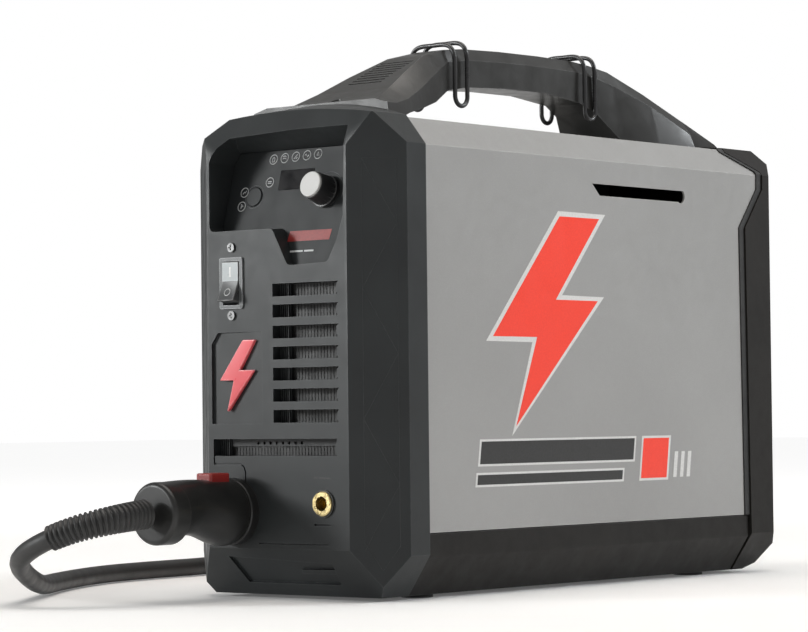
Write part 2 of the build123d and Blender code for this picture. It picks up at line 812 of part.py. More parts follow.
def emblem():
    """A plain raised bolt on the sloping inset."""
    left, low, wide, high = -49.5, 117.0, 35.0, 45.0
    shape = ((0.64, 1), (0.08, 0.44), (0.42, 0.44), (0.26, 0), (0.92, 0.58), (0.56, 0.58), (0.94, 1))
    with BuildPart() as mark:
        with BuildSketch(xz(FRONT_Y + 1.8)):
            outline(*((left + wide * x, low + high * z) for x, z in shape))
        extrude(amount=3.6)
        with BuildSketch(xy(100)):
            outline(
                (-55, FRONT_Y - 6), (-55, FRONT_Y + 1.9), (-12, FRONT_Y + 0.2), (-8, FRONT_Y),
                (-8, FRONT_Y - 6),
            )
        extrude(amount=80, mode=Mode.INTERSECT)
    mark.part.label = "emblem"
    export_step(mark.part, "parts/emblem.step")


def vent_strip():
    """Perforated strip inside the long slot."""
    with BuildPart() as strip:
        with BuildSketch(xz(FRONT_Y + 9)):
            with Locations((-3.4, 97.5)):
                Rectangle(100.6, 4.6)
            for index in range(8):
                with Locations((-24 + 5.2 * index, 97.2)):
                    Circle(1.0, mode=Mode.SUBTRACT)
        extrude(amount=-1.5)
    strip.part.label = "vent_strip"
    export_step(strip.part, "parts/vent_strip.step")


def torch_receptacle():
    """Socket of the torch plug: flange in front of the face, barrel through it, pins inside."""
    deep = 38.0
    with BuildPart() as socket:
        with BuildSketch(xz(FRONT_Y)):
            with Locations((TORCH_X, TORCH_Z)):
                Circle(21)
        extrude(amount=7)
        fillet(socket.edges().sort_by(Axis.Y)[0], 1.2)
        with BuildSketch(xz(FRONT_Y)):
            with Locations((TORCH_X, TORCH_Z)):
                Circle(17.5)
        extrude(amount=-deep)
        with BuildSketch(xz(FRONT_Y - 10)):
            with Locations((TORCH_X, TORCH_Z)):
                Circle(SOCKET_R)
        extrude(amount=-(deep + 6), mode=Mode.SUBTRACT)
        with BuildSketch(xz(FRONT_Y + deep - 2)):
            with Locations((TORCH_X, TORCH_Z)):
                with PolarLocations(8, 3, start_angle=90):
                    Circle(1.5)
        extrude(amount=26)
    socket.part.label = "torch_receptacle"
    export_step(socket.part, "parts/torch_receptacle.step")


def work_bush():
    with BuildPart() as bush:
        with BuildSketch(xz(FRONT_Y)):
            with Locations((WORK_X, WORK_Z)):
                Circle(8.6)
                Circle(6.3, mode=Mode.SUBTRACT)
        extrude(amount=1.2)
        with BuildSketch(xz(FRONT_Y)):
            with Locations((WORK_X, WORK_Z)):
                Circle(6.8)
                Circle(6.3, mode=Mode.SUBTRACT)
        extrude(amount=-12)
    bush.part.label = "work_bush"
    export_step(bush.part, "parts/work_bush.step")


def work_socket():
    """Brass socket of the work lead."""
    with BuildPart() as socket:
        with BuildSketch(xz(FRONT_Y - 1.2)):
            with Locations((WORK_X, WORK_Z)):
                Circle(7.6)
        extrude(amount=1.4)
        chamfer(socket.edges().sort_by(Axis.Y)[0], 0.6)
        with BuildSketch(xz(FRONT_Y - 1.2)):
            with Locations((WORK_X, WORK_Z)):
                Circle(6.2)
        extrude(amount=-32)
        with BuildSketch(xz(FRONT_Y - 5)):
            with Locations((WORK_X, WORK_Z)):
                Circle(WORK_BORE_R)
        extrude(amount=-28, mode=Mode.SUBTRACT)
    socket.part.label = "work_socket"
    export_step(socket.part, "parts/work_socket.step")


# ---- inside --------------------------------------------------------------------------------------

def centre_panel():
    """Sheet-metal wall that carries the electronics on one side and the gas parts on the other."""
    with BuildPart() as panel:
        with BuildSketch(yz(-1.5)):
            outline((-168, 6), (140, 6), (140, 288), (-130, 288), (-168, 200))
            with Locations((60, 120), (-120, 90)):
                Circle(14, mode=Mode.SUBTRACT)
        extrude(amount=1.5)
        with BuildSketch(xy(6)):
            outline((0, -168), (14, -168), (14, 140), (0, 140))
        extrude(amount=1.5)
    panel.part.label = "centre_panel"
    export_step(panel.part, "parts/centre_panel.step")


def heatsink():
    fins = 12
    with BuildPart() as sink:
        with BuildSketch(xy(52)):
            outline((30, -120), (36, -120), (36, 40), (30, 40))
            for index in range(fins):
                y = -118.5 + index * (157 / (fins - 1))
                outline((0.4, y - 1), (30.5, y - 1.4), (30.5, y + 1.4), (0.4, y + 1))
        extrude(amount=150)
    sink.part.label = "heatsink"
    export_step(sink.part, "parts/heatsink.step")


def power_modules():
    """Rectifier and transistor modules, flat on the heatsink."""
    with BuildPart() as modules:
        with BuildSketch(yz(36.1)):
            with Locations((-85, 90), (-85, 160), (-5, 125)):
                RectangleRounded(48, 36, 2)
                with GridLocations(38, 26, 2, 2):
                    Circle(1.8, mode=Mode.SUBTRACT)
        extrude(amount=8)
    modules.part.label = "power_modules"
    export_step(modules.part, "parts/power_modules.step")


def power_board():
    with BuildPart() as board:
        with BuildSketch(yz(46)):
            with Locations((-40, 135)):
                RectangleRounded(190, 190, 3)
                with GridLocations(176, 176, 2, 2):
                    Circle(2.1, mode=Mode.SUBTRACT)
        extrude(amount=1.6)
    board.part.label = "power_board"
    export_step(board.part, "parts/power_board.step")


def bus_capacitors():
    with BuildPart() as cans:
        with BuildSketch(yz(47.7)):
            with Locations((10, 135)):
                with GridLocations(28, 34, 2, 4):
                    Circle(12)
        extrude(amount=29)
        chamfer(cans.faces().sort_by(Axis.X)[-1].edges(), 0.8)
    cans.part.label = "bus_capacitors"
    export_step(cans.part, "parts/bus_capacitors.step")


def transformer_core():
    with BuildPart() as core:
        with BuildSketch(xz(-30)):
            with Locations((-42, TRANSFORMER_Z)):
                Rectangle(66, 74)
                with Locations((-17.5, 0), (17.5, 0)):
                    Rectangle(13, 50, mode=Mode.SUBTRACT)
        extrude(amount=-34)
    core.part.label = "transformer_core"
    export_step(core.part, "parts/transformer_core.step")


def transformer_winding():
    with BuildPart() as winding:
        with BuildSketch(xy(TRANSFORMER_Z - 24)):
            with Locations((-42, -13)):
                RectangleRounded(46, 54, 8)
                Rectangle(22.6, 34.6, mode=Mode.SUBTRACT)
        extrude(amount=48)
    winding.part.label = "transformer_winding"
    export_step(winding.part, "parts/transformer_winding.step")


def inductor_core():
    with BuildPart() as core:
        with BuildSketch(xz(48)):
            with Locations((-42, 46)):
                Circle(30)
                Circle(18, mode=Mode.SUBTRACT)
        extrude(amount=-20)
    core.part.label = "inductor_core"
    export_step(core.part, "parts/inductor_core.step")


def inductor_winding():
    """Turns of enamelled bar around the ring core, joined by a strap at the rear."""
    turns = 14
    with BuildPart() as winding:
        with BuildSketch(xz(44)):
            with Locations((-42, 46)):
                with PolarLocations(24, turns):
                    Rectangle(20, 4.4)
        extrude(amount=-28)
        with BuildSketch(xz(47.9)):
            with Locations((-42, 46)):
                Circle(30.1)
                Circle(17.9, mode=Mode.SUBTRACT)
        extrude(amount=-20.2, mode=Mode.SUBTRACT)
        with BuildSketch(xz(70)):
            with Locations((-42, 46)):
                Circle(27)
                Circle(21, mode=Mode.SUBTRACT)
        extrude(amount=-3)
    winding.part.label = "inductor_winding"
    export_step(winding.part, "parts/inductor_winding.step")


def fan_housing():
    with BuildPart() as housing:
        with BuildSketch(xz(FAN_Y)):
            with Locations((0, FAN_Z)):
                RectangleRounded(119, 119, 5)
                Circle(FAN_R + 2, mode=Mode.SUBTRACT)
                with GridLocations(105, 105, 2, 2):
                    Circle(2.2, mode=Mode.SUBTRACT)
        extrude(amount=-25)
        with BuildSketch(xz(FAN_Y)):
            with Locations((0, FAN_Z)):
                Circle(20)
                with PolarLocations(38, 4, start_angle=45):
                    Rectangle(38, 4)
        extrude(amount=-3)
        with BuildSketch(xz(FAN_Y)):
            with Locations((0, FAN_Z)):
                Circle(4.0)
        extrude(amount=-22)
    housing.part.label = "fan_housing"
    export_step(housing.part, "parts/fan_housing.step")


def fan_rotor():
    """Hub and seven pitched blades that turn on the housing's pin."""
    blades = 7
    pitch = radians(35)
    with BuildPart() as rotor:
        with BuildSketch(xz(FAN_Y + 4)):
            with Locations((0, FAN_Z)):
                Circle(20)
        extrude(amount=-18)
        for index in range(blades):
            turn = 2 * pi / blades * index
            root = Plane(
                origin=(0, FAN_Y + 13, FAN_Z),
                x_dir=(-sin(turn) * sin(pitch), cos(pitch), cos(turn) * sin(pitch)),
                z_dir=(cos(turn), 0, sin(turn)),
            )
            with BuildSketch(root.offset(18)):
                Rectangle(20, 1.6)
            extrude(amount=34)
        with BuildSketch(xz(FAN_Y + 1)):
            with Locations((0, FAN_Z)):
                Circle(4.06)
        extrude(amount=-30, mode=Mode.SUBTRACT)
    rotor.part.label = "fan_rotor"
    export_step(rotor.part, "parts/fan_rotor.step")


# ---- gas path ------------------------------------------------------------------------------------

def air_inlet():
    """Quick-connect nipple that stands in the rear pocket and screws into the filter head."""
    with BuildPart() as inlet:
        with BuildSketch(yz(INLET_X)):
            with BuildLine():
                Polyline(
                    (POCKET_FLOOR_Y - 12, INLET_Z),
                    (POCKET_FLOOR_Y - 12, INLET_Z + 7.9),
                    (POCKET_FLOOR_Y + 0.1, INLET_Z + 7.9),
                    (POCKET_FLOOR_Y + 0.1, INLET_Z + 10.5),
                    (POCKET_FLOOR_Y + 6, INLET_Z + 10.5),
                    (POCKET_FLOOR_Y + 6, INLET_Z + 5.9),
                    (POCKET_FLOOR_Y + 10, INLET_Z + 5.9),
                    (POCKET_FLOOR_Y + 11, INLET_Z + 4.6),
                    (POCKET_FLOOR_Y + 13, INLET_Z + 4.6),
                    (POCKET_FLOOR_Y + 14, INLET_Z + 5.9),
                    (POCKET_FLOOR_Y + 20, INLET_Z + 5.9),
                    (POCKET_FLOOR_Y + 21, INLET_Z + 5.0),
                    (POCKET_FLOOR_Y + 21, INLET_Z + 3.2),
                    (POCKET_FLOOR_Y - 8, INLET_Z + 3.2),
                    (POCKET_FLOOR_Y - 8, INLET_Z),
                    close=True,
                )
            make_face()
        axis = Axis((INLET_X, 0, INLET_Z), (0, 1, 0))
        revolve(axis=axis)
    inlet.part.label = "air_inlet"
    export_step(inlet.part, "parts/air_inlet.step")


def filter_head():
    with BuildPart() as head:
        with BuildSketch(xz(148)):
            with Locations((INLET_X, FILTER_Z)):
                RectangleRounded(40, 34, 4)
        extrude(amount=-42)
        with BuildSketch(xz(185)):
            with Locations((INLET_X, INLET_Z)):
                Circle(8.0)
        extrude(amount=-6, mode=Mode.SUBTRACT)
    head.part.label = "filter_head"
    export_step(head.part, "parts/filter_head.step")


def filter_bowl():
    """Clear bowl under the filter head, open at its top."""
    with BuildPart() as bowl:
        with BuildSketch(xy(BOWL_TOP)):
            with Locations((INLET_X, BOWL_Y)):
                Circle(15)
        extrude(amount=-34, taper=3)
        with BuildSketch(xy(BOWL_TOP)):
            with Locations((INLET_X, BOWL_Y)):
                Circle(13)
        extrude(amount=-31, taper=3, mode=Mode.SUBTRACT)
        with BuildSketch(xy(10)):
            with Locations((INLET_X, BOWL_Y)):
                Circle(2.06)
        extrude(amount=12, mode=Mode.SUBTRACT)
    bowl.part.label = "filter_bowl"
    export_step(bowl.part, "parts/filter_bowl.step")


def drain_valve():
    with BuildPart() as valve:
        with BuildSketch(xy(9)):
            with Locations((INLET_X, BOWL_Y)):
                Circle(4.5)
        extrude(amount=3.0)
        with BuildSketch(xy(9)):
            with Locations((INLET_X, BOWL_Y)):
                Circle(2.0)
        extrude(amount=12)
    valve.part.label = "drain_valve"
    export_step(valve.part, "parts/drain_valve.step")


def pressure_regulator():
    with BuildPart() as regulator:
        with BuildSketch(xz(118)):
            with Locations((INLET_X, FILTER_Z)):
                RectangleRounded(30, 30, 3)
        extrude(amount=-29.9)
        with BuildSketch(xy(80.5)):
            with Locations((INLET_X, 133)):
                Circle(12)
        extrude(amount=26, taper=4)
    regulator.part.label = "pressure_regulator"
    export_step(regulator.part, "parts/pressure_regulator.step")


def gas_valve():
    """Solenoid valve at the front, behind the torch receptacle."""
    with BuildPart() as valve:
        with BuildSketch(xz(-140)):
            with Locations((TORCH_X - 22, TORCH_Z)):
                RectangleRounded(22, 26, 2)
        extrude(amount=-26)
        with BuildSketch(xy(TORCH_Z + 12)):
            with Locations((TORCH_X - 22, -127)):
                Circle(9.5)
        extrude(amount=30)
    valve.part.label = "gas_valve"
    export_step(valve.part, "parts/gas_valve.step")


def air_hose():
    """Hose from the regulator forward to the valve, and a short one on to the receptacle."""
    hose_r = 4.0
    back = (
        (INLET_X, 118, FILTER_Z), (INLET_X, 98, FILTER_Z), (-64, 78, 96), (-75.5, 50, 100), (-75.5, -50, 100),
        (TORCH_X - 22, -84, TORCH_Z), (TORCH_X - 22, -114, TORCH_Z),
    )
    front = (
        (TORCH_X - 22, -140, TORCH_Z), (TORCH_X - 22, -152, TORCH_Z), (TORCH_X, -166, TORCH_Z),
        (TORCH_X, -179, TORCH_Z),
    )
    with BuildPart() as hose:
        for route, radius in ((back, 12), (front, 7)):
            with BuildLine() as path:
                FilletPolyline(*route, radius=radius)
            wire = path.wires()[0]
            with BuildSketch(Plane(origin=wire @ 0, z_dir=wire % 0)):
                Circle(hose_r)
            sweep(path=wire)
    hose.part.label = "air_hose"
    export_step(hose.part, "parts/air_hose.step")


def cord_gland():
    """Gland that takes the mains cord, with its lock nut inside."""
    with BuildPart() as gland:
        with BuildSketch(xz(POCKET_FLOOR_Y + 0.1)):
            with Locations((GLAND_X, INLET_Z)):
                RegularPolygon(15, 6)
        extrude(amount=-7)
        with BuildSketch(xz(POCKET_FLOOR_Y + 7)):
            with Locations((GLAND_X, INLET_Z)):
                Circle(13)
        extrude(amount=-13, taper=14)
        with BuildSketch(xz(POCKET_FLOOR_Y - 14)):
            with Locations((GLAND_X, INLET_Z)):
                Circle(11)
        extrude(amount=-15)
        with BuildSketch(xz(POCKET_FLOOR_Y - 9)):
            with Locations((GLAND_X, INLET_Z)):
                RegularPolygon(15, 6)
        extrude(amount=-5.8)
        with BuildSketch(xz(POCKET_FLOOR_Y - 20)):
            with Locations((GLAND_X, INLET_Z)):
                Circle(GLAND_BORE_R)
        extrude(amount=-50, mode=Mode.SUBTRACT)
    gland.part.label = "cord_gland"
    export_step(gland.part, "parts/cord_gland.step")


def port_cover():
    """Snap-in cover of the data port."""
    with BuildPart() as lid:
        with BuildSketch(xz(REAR_Y - 1.5)):
            with Locations((0, PORT_Z)):
                RectangleRounded(55.4, 25.4, 2)
        extrude(amount=-1.4)
        with BuildSketch(xz(REAR_Y - 0.3)):
            with Locations((20, PORT_Z)):
                Rectangle(3, 12)
        extrude(amount=-2, mode=Mode.SUBTRACT)
    lid.part.label = "port_cover"
    export_step(lid.part, "parts/port_cover.step")


# ---- torch lead ----------------------------------------------------------------------------------

CAP_Y = FRONT_Y - 88.0    # the plug ends here
RELIEF_ROUTE = (
    (TORCH_X, CAP_Y + 7, 55.2), (TORCH_X, CAP_Y - 9, 54), (-43.7, CAP_Y - 25, 51),
    (-56.8, CAP_Y - 37, 46.5), (-68, CAP_Y - 40.8, 42),
)
LEAD_ROUTE = (
    (-43.7, CAP_Y - 25, 51), (-56.8, CAP_Y - 37, 46.5), (-73.6, CAP_Y - 42.6, 39.7),
    (-91.2, CAP_Y - 41, 32.5), (-106.7, CAP_Y - 32, 25.8), (-125.3, CAP_Y - 8, 17), (-158, CAP_Y + 37, 7),
    (-187, CAP_Y + 76, 6.5), (-214, CAP_Y + 122, 6.4), (-236, CAP_Y + 173, 6.5),
    (-246, CAP_Y + 227, 6.4), (-248, CAP_Y + 281, 6.5), (-264, CAP_Y + 334, 6.4),
    (-288, CAP_Y + 379, 6.5), (-308, COIL_Y - 12, 6.4), (COIL_X - 87.5, COIL_Y + 16, 6.5),
)
TAIL_ROUTE = (
    (COIL_X - 10, COIL_Y + 87.5, 43.75), (COIL_X + 28, COIL_Y + 88.5, 43.2),
    (COIL_X + 62, COIL_Y + 88.5, 40), (COIL_X + 88, COIL_Y + 78, 34), (COIL_X + 107.5, COIL_Y + 58, 27),
    (HAND_X, COIL_Y + 32.5, 20.5), (HAND_X + 0.3, HAND_Y + 82, HAND_Z),
)


def arc_radii(route):
    """The largest radius at each inner point: 0.45 of the shorter run over tan(half the turn)."""
    radii = []
    for before, here, after in zip(route, route[1:], route[2:]):
        first = Vector(*here) - Vector(*before)
        second = Vector(*after) - Vector(*here)
        half_turn = radians(first.get_angle(second)) / 2
        radii.append(0.45 * min(first.length, second.length) / tan(half_turn))
    return radii


def tube(route, radius):
    """A round tube along a route of straight runs joined by tangent arcs."""
    radii = arc_radii(route)
    with BuildPart() as made:
        with BuildLine() as path:
            FilletPolyline(*route, radius=radii)
        wire = path.wires()[0]
        with BuildSketch(Plane(origin=wire @ 0, z_dir=wire % 0)):
            Circle(radius)
        sweep(path=wire)
    expected = pi * radius ** 2 * wire.length
    print("tube length", round(wire.length, 1), "volume share", round(made.part.volume / expected, 4))
    print("  radii", [round(value) for value in radii])
    return made.part


def plug_body():
    """Waisted plug with a nose that enters the receptacle."""
    stations = (
        (-225, 54.5, 20.4), (-241, 55.2, 19.6), (-257, 58.0, 17.4), (-274, 57.4, 17.6),
        (-291, 55.2, 19.0),
    )
    with BuildPart() as plug:
        for y, z, radius in stations:
            with BuildSketch(xz(y)):
                with Locations((TORCH_X, z)):
                    Circle(radius)
        loft()
        with BuildSketch(xz(-291)):
            with Locations((TORCH_X, 55.2)):
                Circle(19.4)
        extrude(amount=291 + CAP_Y)
        fillet(plug.edges().sort_by(Axis.Y)[0], 3)
        with BuildSketch(xz(-225)):
            with Locations((TORCH_X, TORCH_Z)):
                Circle(SOCKET_R - 0.4)
        extrude(amount=-26)
        with BuildSketch(xz(-211)):
            with Locations((TORCH_X, TORCH_Z)):
                with PolarLocations(8, 3, start_angle=90):
                    Circle(2.1)
        extrude(amount=-20, mode=Mode.SUBTRACT)
        with BuildSketch(xy(68)):
            with Locations((TORCH_X, -236.7)):
                RectangleRounded(13.8, 18.4, 2)
        extrude(amount=20, mode=Mode.SUBTRACT)
        with BuildSketch(xz(CAP_Y)):
            with Locations((TORCH_X, 55.2)):
                Circle(11.5)
        extrude(amount=-7, mode=Mode.SUBTRACT)
    plug.part.label = "plug_body"
    export_step(plug.part, "parts/plug_body.step")


def plug_button():
    with BuildPart() as button:
        with BuildSketch(xy(71)):
            with Locations((TORCH_X, -236.7)):
                RectangleRounded(13, 17.6, 1.6)
        extrude(amount=8)
        fillet(button.faces().sort_by(Axis.Z)[-1].edges(), 1.2)
    button.part.label = "plug_button"
    export_step(button.part, "parts/plug_button.step")


def strain_relief():
    relief = tube(RELIEF_ROUTE, 9.0)
    relief.label = "strain_relief"
    export_step(relief, "parts/strain_relief.step")


def torch_lead_front():
    lead = tube(LEAD_ROUTE, LEAD_R)
    lead.label = "torch_lead_front"
    export_step(lead, "parts/torch_lead_front.step")


def torch_lead_rear():
    lead = tube(TAIL_ROUTE, LEAD_R)
    lead.label = "torch_lead_rear"
    export_step(lead, "parts/torch_lead_rear.step")


def torch_lead_coil():
    """Outer shape of the coiled part of the lead."""
    half_width = COIL_COLUMNS * LEAD_R
    with BuildPart() as coil:
        with BuildSketch(xy(0.1)):
            with Locations((COIL_X, COIL_Y)):
                Circle(COIL_MID_R + half_width)
                Circle(COIL_MID_R - half_width, mode=Mode.SUBTRACT)
        extrude(amount=2 * LEAD_R * COIL_LAYERS)
    coil.part.label = "torch_lead_coil"
    export_step(coil.part, "parts/torch_lead_coil.step")


def coil_tie():
    """Strap around the coil's section."""
    high = 2 * LEAD_R * COIL_LAYERS
    wide = 2 * COIL_COLUMNS * LEAD_R
    with BuildPart() as tie:
        with BuildSketch(yz(COIL_X - 9)):
            with Locations((COIL_Y - COIL_MID_R, high / 2 + 0.1)):
                RectangleRounded(wide + 6, high + 2.4, 3)
                Rectangle(wide + 3.4, high + 0.2, mode=Mode.SUBTRACT)
        extrude(amount=18)
        with BuildSketch(xy(-5)):
            with Locations((COIL_X, COIL_Y)):
                Rectangle(400, 400)
        extrude(amount=5, mode=Mode.SUBTRACT)
    tie.part.label = "coil_tie"
    export_step(tie.part, "parts/coil_tie.step")


# ---- hand torch ----------------------------------------------------------------------------------
# It lies on its side. Its handle runs along y from the cable end (+) to the neck (-), and its head
# turns outwards, towards -x.

HEAD_Y = HAND_Y - 88.0
HANDLE_REAR_Y = HAND_Y + 102.0
HAND_SCREWS = ((HAND_X + 2, HAND_Y + 60), (HAND_X + 2, HAND_Y - 44))
PIN_X = HAND_X - 11.0     # the pins of the trigger and of the safety lever
TRIGGER_PIN = (PIN_X, HAND_Y - 2)
SAFETY_PIN = (PIN_X, HAND_Y - 36)
PIN_R = 1.5
BLADE_HALF = 5.5          # half the thickness of the trigger and of the lever


def handle_form(inset):
    """Torch handle: round at the cable end, swelling towards the trigger, with a neck at the front."""
    stations = (
        (102, 0, 11.5, 11.5), (80, 0, 13.5, 13.5), (40, -1, 16, 15.5), (0, -1, 16.5, 16.2),
        (-36, 0, 15, 15.2), (-60, 0, 12.5, 12.5),
    )
    with BuildPart() as form:
        for y, shift, wide, high in stations:
            with BuildSketch(xz(HAND_Y + y)):
                with Locations((HAND_X + shift, HAND_Z)):
                    Ellipse(wide - inset, high - inset)
        loft()
    return form.part


def torch_shell(name, upper):
    """One half of the handle, cut at the level of its axis."""
    with BuildPart() as shell:
        add(handle_form(0))
        add(handle_form(2.2), mode=Mode.SUBTRACT)
        for place in HAND_SCREWS:
            with BuildSketch(xy(HAND_Z - 12)):
                with Locations(place):
                    Circle(4)
            extrude(amount=24)
            with BuildSketch(xy(-1)):
                with Locations(place):
                    Circle(1.6)
            extrude(amount=27, mode=Mode.SUBTRACT)
            with BuildSketch(xy(-1)):
                with Locations(place):
                    Circle(3.3)
            extrude(amount=7, mode=Mode.SUBTRACT)
        # opening for the trigger and the safety lever
        with BuildSketch(xy(HAND_Z)):
            with Locations((HAND_X - 16, HAND_Y - 11)):
                Rectangle(24, 63)
        extrude(amount=6.4, both=True, mode=Mode.SUBTRACT)
        with BuildSketch(xy(HAND_Z)):
            with Locations((HAND_X, HAND_Y + 20)):
                Rectangle(60, 220)
        extrude(amount=-40 if upper else 40, mode=Mode.SUBTRACT)
        if not upper:
            # pins of the trigger and of the safety lever
            with BuildSketch(xy(HAND_Z - 12)):
                with Locations(TRIGGER_PIN, SAFETY_PIN):
                    Circle(PIN_R)
            extrude(amount=18.2)
    shell.part.label = name
    return shell.part


def torch_shell_upper():
    export_step(torch_shell("torch_shell_upper", True), "parts/torch_shell_upper.step")


def torch_shell_lower():
    export_step(torch_shell("torch_shell_lower", False), "parts/torch_shell_lower.step")


def torch_screws():
    with BuildPart() as screws:
        with BuildSketch(xy(2.6)):
            with Locations(*HAND_SCREWS):
                Circle(2.9)
        extrude(amount=3.3)
        with BuildSketch(xy(5)):
            with Locations(*HAND_SCREWS):
                Circle(1.5)
        extrude(amount=20)
    screws.part.label = "torch_screws"
    export_step(screws.part, "parts/torch_screws.step")


def torch_trigger():
    """Trigger blade that swings about a pin at its front end."""
    with BuildPart() as trigger:
        with BuildSketch(Plane(origin=(HAND_X, HAND_Y, HAND_Z - BLADE_HALF))):
            outline((-8, -5), (-19, -5), (-22, 0), (-21.5, 12), (-19.5, 18.5), (-8, 18.5))
        extrude(amount=2 * BLADE_HALF)
        fillet(trigger.edges().filter_by(Axis.Z), 1.5)
        with BuildSketch(xy(0)):
            with Locations(TRIGGER_PIN):
                Circle(PIN_R + 0.06)
        extrude(amount=40, mode=Mode.SUBTRACT)
    trigger.part.label = "torch_trigger"
    export_step(trigger.part, "parts/torch_trigger.step")


def torch_safety():
    """Safety lever that lies over the front of the trigger."""
    with BuildPart() as lever:
        with BuildSketch(Plane(origin=(HAND_X, HAND_Y, HAND_Z - BLADE_HALF))):
            outline(
                (-8, -40), (-17, -40), (-22, -30), (-26, -10), (-25, -3), (-22.6, -3), (-20, -8),
                (-17, -12), (-8, -14),
            )
        extrude(amount=2 * BLADE_HALF)
        with BuildSketch(xy(0)):
            with Locations(SAFETY_PIN):
                Circle(PIN_R + 0.06)
        extrude(amount=40, mode=Mode.SUBTRACT)
    lever.part.label = "torch_safety"
    export_step(lever.part, "parts/torch_safety.step")


def torch_head():
    """Neck and head: the neck leaves the handle and turns a right angle outwards."""
    with BuildPart() as head:
        with BuildLine() as path:
            FilletPolyline(
                (HAND_X, HAND_Y - 58, HAND_Z), (HAND_X, HEAD_Y, HAND_Z), (HAND_X - 40, HEAD_Y - 9, HAND_Z),
                radius=16,
            )
        wire = path.wires()[0]
        with BuildSketch(Plane(origin=wire @ 0, z_dir=wire % 0)):
            Circle(10.1)
        sweep(path=wire)
        with BuildSketch(xz(HAND_Y - 50)):
            with Locations((HAND_X, HAND_Z)):
                Circle(9.5)
        extrude(amount=9)
    head.part.label = "torch_head"
    export_step(head.part, "parts/torch_head.step")


HEAD_DIRECTION = Vector(-40, -9, 0).normalized()
HEAD_END = Plane(origin=(HAND_X - 40, HEAD_Y - 9, HAND_Z), z_dir=HEAD_DIRECTION)


def retaining_cap():
    with BuildPart() as cap:
        with BuildSketch(HEAD_END.offset(0.1)):
            Circle(12.5)
        extrude(amount=16, taper=5)
        with BuildSketch(HEAD_END.offset(0.1)):
            Circle(6)
        extrude(amount=16, mode=Mode.SUBTRACT)
    cap.part.label = "retaining_cap"
    export_step(cap.part, "parts/retaining_cap.step")


def drag_shield():
    with BuildPart() as shield:
        with BuildSketch(HEAD_END.offset(16.2)):
            Circle(10.6)
        extrude(amount=9, taper=26)
        with BuildSketch(HEAD_END.offset(16.1)):
            Circle(6)
        extrude(amount=6, taper=26, mode=Mode.SUBTRACT)
        with BuildSketch(HEAD_END.offset(16)):
            Circle(1.2)
        extrude(amount=12, mode=Mode.SUBTRACT)
    shield.part.label = "drag_shield"
    export_step(shield.part, "parts/drag_shield.step")


front_bezel()
rear_bezel()
rear_screws()
base_pan()
feet()
cover()
cover_gasket()
handle()
handle_screws()
wire_hangers()
control_panel()
display_window()
mode_button()
encoder()
knob_shaft()
adjust_knob()
knob_cap()
switch_frame()
switch_rocker()
switch_screws()
emblem()
vent_strip()
torch_receptacle()
work_bush()
work_socket()
centre_panel()
heatsink()
power_modules()
power_board()
bus_capacitors()
transformer_core()
transformer_winding()
inductor_core()
inductor_winding()
fan_housing()
fan_rotor()
air_inlet()
filter_head()
filter_bowl()
drain_valve()
pressure_regulator()
gas_valve()
air_hose()
cord_gland()
port_cover()
plug_body()
plug_button()
strain_relief()
torch_lead_front()
torch_lead_rear()
torch_lead_coil()
coil_tie()
torch_shell_upper()
torch_shell_lower()
torch_screws()
torch_trigger()
torch_safety()
torch_head()
retaining_cap()
drag_shield()
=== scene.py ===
import bmesh
import bpy
import json
from math import atan2, cos, pi, radians, sin, sqrt
from mathutils import Matrix, Vector


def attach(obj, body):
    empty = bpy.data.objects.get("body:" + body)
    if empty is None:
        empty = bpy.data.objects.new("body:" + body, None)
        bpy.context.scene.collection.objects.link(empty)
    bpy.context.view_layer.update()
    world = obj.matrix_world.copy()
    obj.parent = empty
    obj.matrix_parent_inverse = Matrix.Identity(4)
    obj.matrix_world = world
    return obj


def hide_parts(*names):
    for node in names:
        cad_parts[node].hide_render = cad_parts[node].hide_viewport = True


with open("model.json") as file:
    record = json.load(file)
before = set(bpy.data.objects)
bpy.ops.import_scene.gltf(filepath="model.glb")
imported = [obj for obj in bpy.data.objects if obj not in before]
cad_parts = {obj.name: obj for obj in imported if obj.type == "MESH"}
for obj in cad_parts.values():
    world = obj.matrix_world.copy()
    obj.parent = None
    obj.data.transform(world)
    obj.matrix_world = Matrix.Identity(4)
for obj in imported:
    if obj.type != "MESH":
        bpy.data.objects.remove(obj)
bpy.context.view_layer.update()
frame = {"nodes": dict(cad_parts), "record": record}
nodes = frame["nodes"]
MM = 0.001


# ---- camera --------------------------------------------------------------------------------------

CAMERA_PLACE = (1.283, -1.652, 0.115)
CAMERA_HEADING, CAMERA_RISE, CAMERA_ROLL = 39.43, 1.80, 0.63
CAMERA_LENS = 137.8


def make_camera():
    heading, rise, roll = radians(CAMERA_HEADING), radians(CAMERA_RISE), radians(CAMERA_ROLL)
    forward = Vector((-sin(heading) * cos(rise), cos(heading) * cos(rise), sin(rise)))
    right = Vector((cos(heading), sin(heading), 0.0))
    down = forward.cross(right)
    across = right * cos(roll) + down * sin(roll)
    below = down * cos(roll) - right * sin(roll)
    data = bpy.data.cameras.new("camera")
    data.lens = CAMERA_LENS
    data.sensor_width = 36.0
    data.clip_end = 50.0
    camera = bpy.data.objects.new("camera", data)
    bpy.context.scene.collection.objects.link(camera)
    turn = Matrix((across, -below, -forward)).transposed().to_4x4()
    camera.matrix_world = Matrix.Translation(CAMERA_PLACE) @ turn
    bpy.context.scene.camera = camera


make_camera()


# ---- materials -----------------------------------------------------------------------------------

